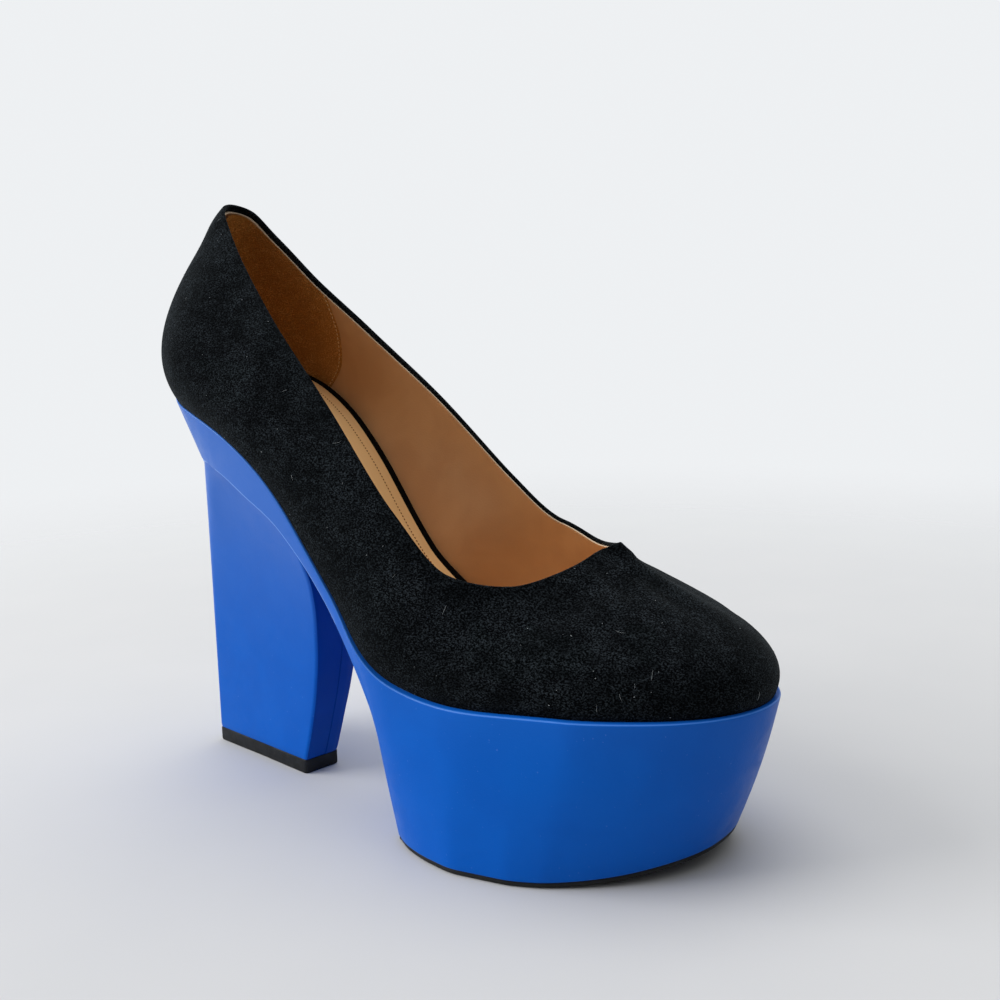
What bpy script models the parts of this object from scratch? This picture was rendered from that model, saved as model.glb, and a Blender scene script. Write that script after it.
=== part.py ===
"""Platform court shoe, right foot: suede upper, covered platform with shank and heel-seat band, covered heel,
heel top lift, outsole and insole.

Frame: +Z up, toe towards -Y, heel towards +Y, outer side of the foot towards -X, inner side towards +X.
The sizes below are millimetres and degrees; meshes are in metres. The last's own centre line runs along Y,
and the finished shoe is moved at the end so that the middle of its box stands over the origin, on Z = 0.
"""
import math

import bmesh
import bpy

MM = 0.001
GAP = 0.3                    # clearance between pieces that touch
MERGE = 0.02                 # points closer than this are one point
SHARP_EDGE = 32.0            # an edge that turns more than this stays sharp, degrees

# The last.
BOTTOM_LENGTH = 244.0        # along the bottom of the last, seat to toe tip
BALL_WIDTH = 82.0
SEAT_HEIGHT = 132.5          # rear of the heel seat above the floor
SEAT_REAR_Y = 127.5
SEAT_RUN_ON = 5.0            # the bottom's slope is carried on behind the seat this far
PLAN_STEP = 0.004            # share of the bottom length over which the outline's direction is read
END_CROWDING = 0.75          # how far the upper's columns crowd towards seat and toe, 0 to 1

# share of the bottom length | slope of the bottom below level, degrees
BOTTOM_ROWS = (
    (0.00, 12.0),
    (0.12, 19.0),
    (0.25, 36.0),
    (0.38, 52.0),
    (0.50, 49.5),
    (0.62, 12.5),
    (0.74, -1.5),
    (0.87, -0.5),
    (1.00, -1.0),
)

# share of the bottom length | outer half width | inner half width, as shares of half the ball width
OUTLINE_ROWS = (
    (0.000, 0.00, 0.00),
    (0.012, 0.27, 0.25),
    (0.040, 0.50, 0.46),
    (0.090, 0.66, 0.61),
    (0.160, 0.73, 0.66),
    (0.300, 0.78, 0.60),
    (0.450, 0.80, 0.56),
    (0.600, 0.98, 0.80),
    (0.720, 1.09, 0.97),
    (0.820, 1.01, 0.92),
    (0.900, 0.80, 0.74),
    (0.955, 0.56, 0.51),
    (0.985, 0.33, 0.29),
    (1.000, 0.00, 0.00),
)

# share of the bottom length | sideways swing of the centre line, inward positive
SWING_ROWS = (
    (0.00, 3.0),
    (0.25, 0.0),
    (0.50, -2.0),
    (0.80, 6.0),
    (1.00, 4.5),
)

# The upper.
WALL = 1.8                   # suede, stiffener and lining together
NOTCH_DEPTH = 3.5            # the small V at the throat
NOTCH_HALF_WIDTH = 3.2
NOTCH_RISE = 0.9             # the bottom of the V lies this much above the topline's run
THROAT_SHARE = 0.85          # share of the bottom length under the throat, for the swing of the topline

# share of one side of the topline, collar back to throat | y | z | outer half width | inner half width |
# rise of the inner side over the outer one
TOPLINE_ROWS = (
    (0.00, 107.0, 195.5, 0.0, 0.0, 0.0),
    (0.03, 105.0, 194.0, 5.3, 6.5, -0.2),
    (0.08, 96.5, 185.5, 12.3, 12.0, -1.2),
    (0.16, 82.5, 171.0, 18.3, 18.0, -2.4),
    (0.28, 65.0, 154.0, 23.7, 24.8, -2.2),
    (0.45, 38.0, 127.5, 28.8, 31.2, -0.2),
    (0.62, 12.5, 99.9, 33.1, 34.6, 2.1),
    (0.74, -5.0, 83.4, 34.6, 34.2, 4.8),
    (0.84, -20.0, 80.0, 28.2, 28.0, 3.2),
    (0.93, -32.0, 84.2, 14.4, 15.0, 1.2),
    (1.00, -35.5, 87.5, 0.0, 0.0, 0.0),
)

# share of the bottom length | matching share of the topline | flare of the wall at the feather edge |
# lean of the wall at the topline, both degrees | lengths of the two handles, shares of the wall's height
WALL_ROWS = (
    (0.00, 0.00, 41.0, 30.0, 0.42, 0.20),
    (0.06, 0.07, 40.0, 28.0, 0.42, 0.20),
    (0.16, 0.22, 31.0, 18.0, 0.38, 0.34),
    (0.30, 0.46, 22.0, 9.0, 0.36, 0.33),
    (0.45, 0.63, 22.0, 12.0, 0.36, 0.33),
    (0.58, 0.74, 24.0, 24.0, 0.36, 0.36),
    (0.72, 0.84, 20.0, 37.0, 0.37, 0.38),
    (0.86, 0.92, 21.0, 41.0, 0.36, 0.32),
    (1.00, 1.00, 27.0, 48.0, 0.34, 0.30),
)

# share of the bottom length | thickness of the sock with its board and heel padding
INSOLE_ROWS = (
    (0.00, 8.0),
    (0.12, 7.5),
    (0.20, 5.5),
    (0.30, 3.4),
    (0.38, 2.4),
    (0.46, 2.0),
    (1.00, 2.0),
)

INSOLE_CLEAR = 1.0           # between the insole's edge and the upper's lining
INSOLE_START = 0.012         # shares of the bottom length where the insole begins and ends
INSOLE_END = 0.990

# Platform, band and shank.
OUTSOLE = 1.4                # thickness of the wearing sole
PLATFORM_REAR_Y = 18.0       # rear of the platform on the floor, at its middle
PLATFORM_TOE_Y = -75.0       # tip of the platform's lower edge
TOE_SPRING = 5.5             # lift of the sole's tip
SPRING_START = 0.52          # share of the sole's length where the spring begins
SHANK_END = 0.49             # share of the bottom length where the shank runs into the platform's rear face
REAR_FACE_END = 0.56         # share where that face has reached the floor
REAR_BOW = 4.0               # rounding of the platform's rear face in plan
BOW_END = 0.40               # share of the sole's length where that rounding has faded
BOW_SQUARENESS = 3           # power of the rounding: larger keeps the middle flatter
REAR_FACE_BEND = 1.7         # power of the rear face's curve: larger hollows it more
OUTSOLE_INSET = 0.6          # the wearing sole is drawn in this much
OUTSOLE_END = 0.998          # share of the sole's length where the wearing sole ends
TIP_START = 0.98             # share from which its tip is drawn back, and how far
TIP_DRAW = 0.4

# Cross sections: shares of the bottom length down to the shank's end, then numbers of equal steps.
REAR_STATIONS = (0.0, 0.003, 0.010, 0.022, 0.040, 0.065, 0.10, 0.14, 0.18, 0.22, 0.26, 0.30, 0.34, 0.38, 0.42,
                 0.455, SHANK_END)
FACE_STATIONS = 6
FORE_STATIONS = 22
FORE_CROWDING = 1.15

# share of the bottom length | ledge of the platform's top edge beyond the upper
LEDGE_ROWS = (
    (0.00, 0.6),
    (0.30, 0.8),
    (0.50, 1.4),
    (0.62, 2.4),
    (0.80, 2.4),
    (0.92, 2.3),
    (1.00, 1.8),
)

# share of the bottom length | thickness under the foot | pull forward of the lower edge | inset of its sides
BAND_ROWS = (
    (0.00, 22.0, 14.5, 5.0),
    (0.04, 21.5, 11.5, 5.5),
    (0.09, 18.6, 8.0, 5.0),
    (0.16, 16.2, 4.0, 4.0),
    (0.25, 13.3, 1.5, 3.0),
    (0.35, 7.4, 0.5, 2.0),
    (0.42, 4.9, 0.2, 1.7),
    (0.49, 4.2, 0.0, 1.5),
)

# share of the sole's length, rear to toe | half width | x of its middle
SOLE_ROWS = (
    (0.00, 28.4, -7.4),
    (0.08, 34.2, -5.9),
    (0.205, 38.8, -4.8),
    (0.32, 41.0, -3.9),
    (0.47, 41.0, -2.2),
    (0.575, 39.4, -0.8),
    (0.68, 35.9, 0.9),
    (0.785, 30.7, 2.5),
    (0.87, 24.7, 3.9),
    (0.935, 18.3, 4.9),
    (0.98, 11.1, 5.5),
    (1.00, 0.0, 6.2),
)

# Heel.
LIFT = 5.0                   # thickness of the heel's wearing block
PER_SIDE = 6                 # faces along one side of the heel's plan, and around one corner
PER_CORNER = 3
BREAST_MIDDLE = 2 * (PER_CORNER + 1) + (PER_SIDE - 1) + PER_SIDE // 2 - 1    # plan point before its middle

# corner | x, y on the floor | x, y under the band | corner rounding on the floor | under the band
HEEL_CORNERS = (
    ("rear outer", -3.1, 123.5, -19.0, 113.8, 1.5, 17.0),
    ("front outer", -12.3, 72.2, -26.5, 61.5, 1.5, 2.5),
    ("front inner", 1.0, 69.0, 21.0, 60.5, 1.5, 2.5),
    ("rear inner", 15.5, 120.5, 21.5, 113.0, 1.5, 20.0),
)

# share of the heel's height | how far the plan has gone from the floor's corners to the band's |
# push forward of the breast
HEEL_ROWS = (
    (0.00, 0.00, 0.0),
    (0.15, 0.02, 3.6),
    (0.30, 0.07, 6.2),
    (0.48, 0.15, 7.8),
    (0.61, 0.23, 8.0),
    (0.74, 0.36, 6.9),
    (0.88, 0.62, 2.6),
    (0.94, 0.77, 1.2),
    (1.00, 1.00, 0.0),
)

# Materials: name | colour | roughness | metallic.
MATERIALS = {
    "upper": ((0.010, 0.011, 0.013, 1.0), 0.95, 0.0),
    "insole": ((0.50, 0.27, 0.12, 1.0), 0.55, 0.0),
    "platform": ((0.004, 0.085, 0.50, 1.0), 0.42, 0.0),
    "heel_block": ((0.004, 0.085, 0.50, 1.0), 0.42, 0.0),
    "heel_top_lift": ((0.012, 0.012, 0.013, 1.0), 0.60, 0.0),
    "outsole": ((0.012, 0.012, 0.013, 1.0), 0.65, 0.0),
}


def curve(rows, share, column=1):
    """Value of one column at a share: smooth, and never past its neighbouring rows."""
    xs = [row[0] for row in rows]
    ys = [row[column] for row in rows]
    share = min(max(share, xs[0]), xs[-1])
    i = 0
    while i < len(xs) - 2 and share > xs[i + 1]:
        i += 1

    def secant(k):
        return (ys[k + 1] - ys[k]) / (xs[k + 1] - xs[k])

    def slope(k):
        if k == 0:
            return secant(0)
        if k == len(xs) - 1:
            return secant(k - 1)
        before, after = secant(k - 1), secant(k)
        if before * after <= 0.0:
            return 0.0
        left, right = xs[k] - xs[k - 1], xs[k + 1] - xs[k]
        return 3.0 * (left + right) / ((2.0 * right + left) / before + (right + 2.0 * left) / after)

    span = xs[i + 1] - xs[i]
    u = (share - xs[i]) / span
    h00 = (1.0 + 2.0 * u) * (1.0 - u) ** 2
    h10 = u * (1.0 - u) ** 2
    h01 = u * u * (3.0 - 2.0 * u)
    h11 = u * u * (u - 1.0)
    return h00 * ys[i] + h10 * span * slope(i) + h01 * ys[i + 1] + h11 * span * slope(i + 1)


def round_curve(rows, share, column):
    """As curve, but on the squares of the values, so that an outline closes in a round end."""
    squares = [(row[0], row[column] ** 2) for row in rows]
    return math.sqrt(max(curve(squares, share), 0.0))


def bottom_line(steps=400):
    """Points y, z of the last's bottom from the seat to the toe tip, stepped along its slope."""
    points = [(SEAT_REAR_Y, SEAT_HEIGHT)]
    step = BOTTOM_LENGTH / steps
    for i in range(steps):
        angle = math.radians(curve(BOTTOM_ROWS, (i + 0.5) / steps))
        y, z = points[-1]
        points.append((y - step * math.cos(angle), z - step * math.sin(angle)))
    return points


BOTTOM = bottom_line()


def bottom_point(t):
    """y and z of the last's bottom at a share of its length."""
    place = min(max(t, 0.0), 1.0) * (len(BOTTOM) - 1)
    i = min(int(place), len(BOTTOM) - 2)
    u = place - i
    return (BOTTOM[i][0] * (1.0 - u) + BOTTOM[i + 1][0] * u, BOTTOM[i][1] * (1.0 - u) + BOTTOM[i + 1][1] * u)


def bottom_height(y):
    """Height of the last's bottom at a place along the shoe; the bottom is level across."""
    y = min(max(y, BOTTOM[-1][0]), BOTTOM[0][0] + SEAT_RUN_ON)
    if y > BOTTOM[0][0]:
        return BOTTOM[0][1] + (y - BOTTOM[0][0]) * math.tan(math.radians(BOTTOM_ROWS[0][1]))
    low, high = 0, len(BOTTOM) - 1
    while high - low > 1:
        middle = (low + high) // 2
        if BOTTOM[middle][0] >= y:
            low = middle
        else:
            high = middle
    u = (BOTTOM[low][0] - y) / (BOTTOM[low][0] - BOTTOM[high][0])
    return BOTTOM[low][1] + (BOTTOM[high][1] - BOTTOM[low][1]) * u


def half_width(t, side):
    """Half width of the last's outline at a share; side is -1 outer, +1 inner."""
    return round_curve(OUTLINE_ROWS, t, 1 if side < 0 else 2) * BALL_WIDTH / 2.0


def feather(t, side):
    """Point of the feather edge, where the upper meets the bottom."""
    y, z = bottom_point(t)
    return (side * half_width(t, side) + curve(SWING_ROWS, t), y, z)


def loop_shares(count):
    """Shares along one side, close together at the two ends where the outline turns."""
    out = []
    for i in range(count + 1):
        plain = i / count
        crowded = 0.5 - 0.5 * math.cos(math.pi * plain)
        out.append(plain + END_CROWDING * (crowded - plain))
    return out


def side_out(t, side):
    """Outward direction of the outline in plan."""
    if t <= 0.0:
        return (0.0, 1.0)
    if t >= 1.0:
        return (0.0, -1.0)
    a = feather(max(t - PLAN_STEP, 0.0), side)
    b = feather(min(t + PLAN_STEP, 1.0), side)
    tx, ty = b[0] - a[0], b[1] - a[1]
    length = math.hypot(tx, ty)
    nx, ny = ty / length, -tx / length
    if nx * side < 0.0:
        nx, ny = -nx, -ny
    return (nx, ny)


def offset_outline(t, side, margin):
    """Point of the outline moved outward in plan by a margin."""
    x, y, _ = feather(t, side)
    nx, ny = side_out(t, side)
    return (x + nx * margin, y + ny * margin, bottom_height(y + ny * margin))


def topline(s, side):
    """Point of the topline at a share of one side, collar back to throat."""
    y = curve(TOPLINE_ROWS, s, 1)
    z = curve(TOPLINE_ROWS, s, 2)
    w = round_curve(TOPLINE_ROWS, s, 3 if side < 0 else 4)
    notch = max(0.0, 1.0 - w / NOTCH_HALF_WIDTH) if s > 0.5 else 0.0
    swing = curve(SWING_ROWS, s * THROAT_SHARE)
    rise = curve(TOPLINE_ROWS, s, 5) if side > 0 else 0.0
    return (side * w + swing, y - NOTCH_DEPTH * notch, z + rise + NOTCH_RISE * notch)


def wall_point(t, side, v):
    """Point of the upper's outer face: v = 0 at the feather edge, 1 at the topline."""
    p0 = feather(t, side)
    p3 = topline(curve(WALL_ROWS, t, 1), side)
    flare = math.radians(curve(WALL_ROWS, t, 2))
    lean = math.radians(curve(WALL_ROWS, t, 3))
    slope = math.radians(curve(BOTTOM_ROWS, t))
    up = (0.0, -math.sin(slope), math.cos(slope))
    nx, ny = side_out(t, side)
    height = math.dist(p0, p3)
    a = curve(WALL_ROWS, t, 4) * height
    b = curve(WALL_ROWS, t, 5) * height
    out = (nx, ny, 0.0)
    point = []
    for k in range(3):
        q0 = p0[k]
        q1 = p0[k] + a * (math.cos(flare) * up[k] + math.sin(flare) * out[k])
        q2 = p3[k] + b * (-math.cos(lean) * up[k] + math.sin(lean) * out[k])
        q3 = p3[k]
        w = 1.0 - v
        point.append(w ** 3 * q0 + 3 * w * w * v * q1 + 3 * w * v * v * q2 + v ** 3 * q3)
    return tuple(point)


def new_object(name, verts, faces, collection):
    """Named object with its own material, from points in millimetres."""
    mesh = bpy.data.meshes.new(name)
    mesh.from_pydata([(x * MM, y * MM, z * MM) for x, y, z in verts], [], faces)
    mesh.update()
    work = bmesh.new()
    work.from_mesh(mesh)
    bmesh.ops.recalc_face_normals(work, faces=work.faces)
    work.to_mesh(mesh)
    work.free()
    obj = bpy.data.objects.new(name, mesh)
    collection.objects.link(obj)
    colour, roughness, metallic = MATERIALS[name]
    material = bpy.data.materials.new(name)
    material.use_nodes = True
    shader = material.node_tree.nodes["Principled BSDF"]
    shader.inputs["Base Color"].default_value = colour
    shader.inputs["Roughness"].default_value = roughness
    shader.inputs["Metallic"].default_value = metallic
    mesh.materials.append(material)
    for polygon in mesh.polygons:
        polygon.use_smooth = True
    mesh.set_sharp_from_angle(angle=math.radians(SHARP_EDGE))
    return obj


def ring_faces(rings):
    """Quads between closed rings of equal length, given as lists of vertex numbers."""
    faces = []
    for lower, upper in zip(rings, rings[1:]):
        n = len(lower)
        for i in range(n):
            j = (i + 1) % n
            faces.append((lower[i], lower[j], upper[j], upper[i]))
    return faces


def build_upper(collection, around=44, rows=13):
    """Open surface from the feather edge to the topline, closed as a loop; Solidify gives the wall."""
    shares = loop_shares(around)
    places = [(t, -1) for t in shares] + [(t, 1) for t in reversed(shares[1:-1])]
    verts, rings = [], []
    for row in range(rows + 1):
        v = row / rows
        ring = []
        for t, side in places:
            ring.append(len(verts))
            x, y, z = wall_point(t, side, v)
            verts.append((x, y, z + GAP * (1.0 - v)))
        rings.append(ring)
    obj = new_object("upper", verts, ring_faces(rings), collection)
    shell = obj.modifiers.new("wall", 'SOLIDIFY')
    shell.thickness = WALL * MM
    shell.offset = -1.0
    shell.use_even_offset = True
    shell.use_quality_normals = True
    return obj


def laddered_cap(ring, middle):
    """Faces that close a ring by rungs between the points either side of its middle one."""
    n = len(ring)
    faces = []
    for k in range(n // 2):
        a, b = ring[(middle - k) % n], ring[(middle - k - 1) % n]
        c, d = ring[(middle + k + 1) % n], ring[(middle + k) % n]
        face = []
        for vertex in (a, b, c, d):
            if vertex not in face:
                face.append(vertex)
        if len(face) > 2:
            faces.append(tuple(face))
    return faces


def strip_solid(name, rows, collection, cap_middle=None):
    """Closed solid from rows, each a closed ring of points of equal count; an end ring may fall to a line."""
    verts, rings = [], []
    for ring_points in rows:
        ring = []
        for point in ring_points:
            ring.append(len(verts))
            verts.append(point)
        rings.append(ring)
    faces = ring_faces(rings)
    if cap_middle is None:
        faces.append(tuple(reversed(rings[0])))
        faces.append(tuple(rings[-1]))
    else:
        faces += laddered_cap(rings[0], cap_middle)
        faces += laddered_cap(rings[-1], cap_middle)
    obj = new_object(name, verts, faces, collection)
    work = bmesh.new()
    work.from_mesh(obj.data)
    bmesh.ops.remove_doubles(work, verts=work.verts, dist=MERGE * MM)
    bmesh.ops.recalc_face_normals(work, faces=work.faces)
    work.to_mesh(obj.data)
    work.free()
    return obj


def wall_at_rise(t, side, rise, steps=40):
    """Point of the upper's outer face at a height over the bottom, measured square to it."""
    base = feather(t, side)
    slope = math.radians(curve(BOTTOM_ROWS, t))
    for i in range(steps + 1):
        point = wall_point(t, side, 0.5 * i / steps)
        height = (base[1] - point[1]) * math.sin(slope) + (point[2] - base[2]) * math.cos(slope)
        if height >= rise:
            break
    return point


def build_insole(collection):
    """Sock on its board inside the upper, padded under the heel: it follows the bottom and the wall."""
    rows = []
    draw = WALL + INSOLE_CLEAR
    for t in platform_shares():
        if t < INSOLE_START or t > INSOLE_END:
            continue
        slope = math.radians(curve(BOTTOM_ROWS, t))
        thick = curve(INSOLE_ROWS, t)
        low, high = [], []
        for side in (-1, 1):
            nx, ny = side_out(t, side)
            x, y, z = feather(t, side)
            low.append((x - nx * draw, y - ny * draw, bottom_height(y - ny * draw) + GAP / math.cos(slope)))
            x, y, z = wall_at_rise(t, side, thick)
            high.append((x - nx * draw, y - ny * draw, z))
        ring = []
        for k in range(5):
            u = k / 4.0
            ring.append(tuple(low[0][i] + (low[1][i] - low[0][i]) * u for i in range(3)))
        for k in range(5):
            u = k / 4.0
            ring.append(tuple(high[1][i] + (high[0][i] - high[1][i]) * u for i in range(3)))
        rows.append(ring)
    return strip_solid("insole", rows, collection)


def spring(s):
    """Lift of the sole at a share of its length."""
    rise = max(0.0, (s - SPRING_START) / (1.0 - SPRING_START))
    return TOE_SPRING * rise * rise


def underside(t):
    """Row of the platform's underside: y, z of its middle, outer and inner x, bow of the row in plan."""
    y, z = bottom_point(t)
    slope = math.radians(curve(BOTTOM_ROWS, t))
    swing = curve(SWING_ROWS, t)
    if t <= SHANK_END:
        thick = curve(BAND_ROWS, t, 1)
        pull = curve(BAND_ROWS, t, 2)
        inset = curve(BAND_ROWS, t, 3)
        ledge = curve(LEDGE_ROWS, t)
        outer = max(half_width(t, -1) + ledge - inset, 0.0)
        inner = max(half_width(t, 1) + ledge - inset, 0.0)
        y_now = y + math.sin(slope) * thick - pull
        return (y_now, z - math.cos(slope) * thick, swing - outer, swing + inner, 0.0)
    if t < REAR_FACE_END:
        u = (t - SHANK_END) / (REAR_FACE_END - SHANK_END)
        top = underside(SHANK_END)
        foot = (PLATFORM_REAR_Y - REAR_BOW, OUTSOLE + GAP)
        bow = REAR_BOW * math.sin(u * math.pi / 2.0)
        y_now = foot[0] + (top[0] - foot[0]) * (1.0 - u) ** REAR_FACE_BEND + bow
        z_now = top[1] + (foot[1] - top[1]) * u
        x_outer = top[2] + (SOLE_ROWS[0][2] - SOLE_ROWS[0][1] - top[2]) * u
        x_inner = top[3] + (SOLE_ROWS[0][2] + SOLE_ROWS[0][1] - top[3]) * u
        return (y_now, z_now, x_outer, x_inner, bow)
    s = (t - REAR_FACE_END) / (1.0 - REAR_FACE_END)
    y_now = PLATFORM_REAR_Y + (PLATFORM_TOE_Y - PLATFORM_REAR_Y) * s
    bow = REAR_BOW * max(0.0, 1.0 - s / BOW_END)
    half = round_curve(SOLE_ROWS, s, 1)
    middle = curve(SOLE_ROWS, s, 2)
    return (y_now, OUTSOLE + GAP + spring(s), middle - half, middle + half, bow)


def bowed(y, bow, xi):
    """Rounding of a row in plan: its ends fall forward."""
    return y - bow * (1.0 - math.sqrt(max(0.0, 1.0 - min(abs(xi), 1.0) ** BOW_SQUARENESS)))


def across_shares(count):
    """Places from -1 to 1 across the platform, close together at its two corners."""
    return [math.sin((-1.0 + 2.0 * k / count) * math.pi / 2.0) for k in range(count + 1)]


def platform_shares():
    """Shares of the bottom length where the pieces under the foot have their cross sections."""
    face = [SHANK_END + (REAR_FACE_END - SHANK_END) * k / FACE_STATIONS for k in range(1, FACE_STATIONS + 1)]
    fore = []
    for k in range(1, FORE_STATIONS + 1):
        share = math.sin(k / FORE_STATIONS * math.pi / 2.0) ** FORE_CROWDING
        fore.append(REAR_FACE_END + (1.0 - REAR_FACE_END) * share)
    return list(REAR_STATIONS) + face + fore


def build_platform(collection, across=8, wall_rows=5):
    """One piece from the band under the heel seat through the shank to the toe."""
    rows = []
    for t in platform_shares():
        outer_top = offset_outline(t, -1, curve(LEDGE_ROWS, t))
        inner_top = offset_outline(t, 1, curve(LEDGE_ROWS, t))
        y, z, outer_x, inner_x, bow = underside(t)
        ring = []
        for xi in across_shares(across):
            u = (xi + 1.0) / 2.0
            ring.append(tuple(outer_top[i] + (inner_top[i] - outer_top[i]) * u for i in range(3)))
        low_inner = (inner_x, bowed(y, bow, 1.0), z)
        low_outer = (outer_x, bowed(y, bow, -1.0), z)
        for k in range(1, wall_rows):
            u = k / wall_rows
            ring.append(tuple(inner_top[i] + (low_inner[i] - inner_top[i]) * u for i in range(3)))
        for xi in reversed(across_shares(across)):
            x = (outer_x + inner_x) / 2.0 + (inner_x - outer_x) / 2.0 * xi
            ring.append((x, bowed(y, bow, xi), z))
        for k in range(1, wall_rows):
            u = 1.0 - k / wall_rows
            ring.append(tuple(outer_top[i] + (low_outer[i] - outer_top[i]) * u for i in range(3)))
        rows.append(ring)
    return strip_solid("platform", rows, collection)


def band_under_height(y):
    """Height of the band's underside at a place along the shoe, straight between the platform's own rows."""
    rows = [underside(t)[:2] for t in platform_shares() if t <= SHANK_END]
    if y >= rows[0][0]:
        return rows[0][1]
    for before, after in zip(rows, rows[1:]):
        if after[0] <= y:
            u = (before[0] - y) / (before[0] - after[0])
            return before[1] + (after[1] - before[1]) * u
    return rows[-1][1]


def rounded_plan(corners, per_side=PER_SIDE, per_corner=PER_CORNER):
    """Closed plan loop through four rounded corners: each is x, y, rounding."""
    count = len(corners)
    points = []
    for i in range(count):
        x, y, r = corners[i]
        px, py, _ = corners[i - 1]
        nx, ny, _ = corners[(i + 1) % count]
        before = math.hypot(px - x, py - y)
        after = math.hypot(nx - x, ny - y)
        start = (x + (px - x) * r / before, y + (py - y) * r / before)
        end = (x + (nx - x) * r / after, y + (ny - y) * r / after)
        for k in range(per_corner + 1):
            u = k / per_corner
            w = 1.0 - u
            points.append(tuple(w * w * start[j] + 2 * w * u * (x, y)[j] + u * u * end[j] for j in range(2)))
        fx, fy, fr = corners[(i + 1) % count]
        far = (fx + (x - fx) * fr / after, fy + (y - fy) * fr / after)
        for k in range(1, per_side):
            u = k / per_side
            points.append(tuple(end[j] + (far[j] - end[j]) * u for j in range(2)))
    return points


def heel_plan(step, forward):
    """Plan of the heel between the floor's corners (step 0) and the band's (step 1)."""
    corners = []
    for name, x0, y0, x1, y1, r0, r1 in HEEL_CORNERS:
        push = forward if name.startswith("front") else 0.0
        corners.append((x0 + (x1 - x0) * step, y0 + (y1 - y0) * step - push, r0 + (r1 - r0) * step))
    return rounded_plan(corners)


def build_heel(collection):
    """Covered heel from the wearing block up to the band, its top following the band's underside."""
    rows = []
    low = LIFT + GAP
    heights = [row[0] for row in HEEL_ROWS]
    shares = []
    for a, b in zip(heights, heights[1:]):
        shares += [a, (a + b) / 2.0]
    shares.append(1.0)
    for share in shares:
        step = curve(HEEL_ROWS, share, 1)
        forward = curve(HEEL_ROWS, share, 2)
        ring = []
        for x, y in heel_plan(step, forward):
            top = band_under_height(y) - GAP
            ring.append((x, y, low + (top - low) * share))
        rows.append(ring)
    return strip_solid("heel_block", rows, collection, BREAST_MIDDLE)


def build_lift(collection):
    """Wearing block under the heel."""
    plan = heel_plan(0.0, 0.0)
    rows = [[(x, y, 0.0) for x, y in plan], [(x, y, LIFT) for x, y in plan]]
    return strip_solid("heel_top_lift", rows, collection, BREAST_MIDDLE)


def build_outsole(collection, across=8):
    """Wearing sole: the platform's lower outline, drawn in a little, with the toe spring."""
    rows = []
    for t in platform_shares():
        if t < REAR_FACE_END:
            continue
        y, z, outer_x, inner_x, bow = underside(t)
        s = (t - REAR_FACE_END) / (1.0 - REAR_FACE_END)
        if s >= OUTSOLE_END:
            continue
        half = (inner_x - outer_x) / 2.0
        half -= min(OUTSOLE_INSET, half / 2.0)
        if s > TIP_START:
            y += TIP_DRAW
        if s == 0.0:
            y -= OUTSOLE_INSET
        ring = []
        for level in (z - GAP - OUTSOLE, z - GAP):
            row = []
            for xi in across_shares(across):
                row.append(((outer_x + inner_x) / 2.0 + half * xi, bowed(y, bow, xi), level))
            ring += row if not ring else reversed(row)
        rows.append(ring)
    return strip_solid("outsole", rows, collection)


def centre_on_origin(objects):
    """Moves the meshes so that the middle of the shoe's box stands over the origin."""
    graph = bpy.context.evaluated_depsgraph_get()
    low, high = [1e9, 1e9], [-1e9, -1e9]
    for obj in objects:
        mesh = obj.evaluated_get(graph).to_mesh()
        for vertex in mesh.vertices:
            for k in range(2):
                low[k] = min(low[k], vertex.co[k])
                high[k] = max(high[k], vertex.co[k])
        obj.evaluated_get(graph).to_mesh_clear()
    shift = [-(low[k] + high[k]) / 2.0 for k in range(2)]
    for obj in objects:
        for vertex in obj.data.vertices:
            vertex.co.x += shift[0]
            vertex.co.y += shift[1]
        obj.data.update()
    print("shift of the last's frame, mm:", round(shift[0] / MM, 3), round(shift[1] / MM, 3))


def main():
    """Builds the shoe in its own collection."""
    for obj in list(bpy.data.objects):
        bpy.data.objects.remove(obj, do_unlink=True)
    collection = bpy.data.collections.new("platform_shoe")
    bpy.context.scene.collection.children.link(collection)
    parts = [
        build_upper(collection),
        build_insole(collection),
        build_platform(collection),
        build_heel(collection),
        build_lift(collection),
        build_outsole(collection),
    ]
    bpy.context.view_layer.update()
    centre_on_origin(parts)


main()
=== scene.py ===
"""Looks of a platform court shoe, right foot: suede upper with its folded topline, leather lining and sock,
leather-covered platform and heel, wearing block and thin sole.

Frame: +Z up, toe towards -Y, heel towards +Y, outer side towards -X, inner side towards +X. Sizes are
millimetres and degrees in the last's own frame, whose middle line runs along Y. Shares run from 0 to 1, and t
is always the share of the last's bottom length, heel to toe.
"""
import math

import bmesh
import bpy
import numpy as np
from mathutils import Matrix, Vector


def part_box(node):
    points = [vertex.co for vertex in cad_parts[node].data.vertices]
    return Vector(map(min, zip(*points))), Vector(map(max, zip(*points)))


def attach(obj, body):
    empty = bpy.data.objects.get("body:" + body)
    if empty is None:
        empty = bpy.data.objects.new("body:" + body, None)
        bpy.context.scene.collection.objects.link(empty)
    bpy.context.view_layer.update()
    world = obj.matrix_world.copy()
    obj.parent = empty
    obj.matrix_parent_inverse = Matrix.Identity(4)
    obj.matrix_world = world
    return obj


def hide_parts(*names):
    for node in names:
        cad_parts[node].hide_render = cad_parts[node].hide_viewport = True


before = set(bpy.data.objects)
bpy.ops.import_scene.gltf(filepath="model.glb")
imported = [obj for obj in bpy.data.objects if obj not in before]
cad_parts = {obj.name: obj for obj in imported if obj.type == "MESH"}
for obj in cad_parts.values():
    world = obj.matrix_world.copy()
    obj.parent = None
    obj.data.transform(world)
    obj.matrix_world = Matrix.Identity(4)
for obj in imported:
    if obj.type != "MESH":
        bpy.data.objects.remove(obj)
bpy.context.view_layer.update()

MM = 0.001
GAP = 0.3                    # between the wearing sole and the platform
TINY = 1e-9                  # least length that anything is divided by

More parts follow.
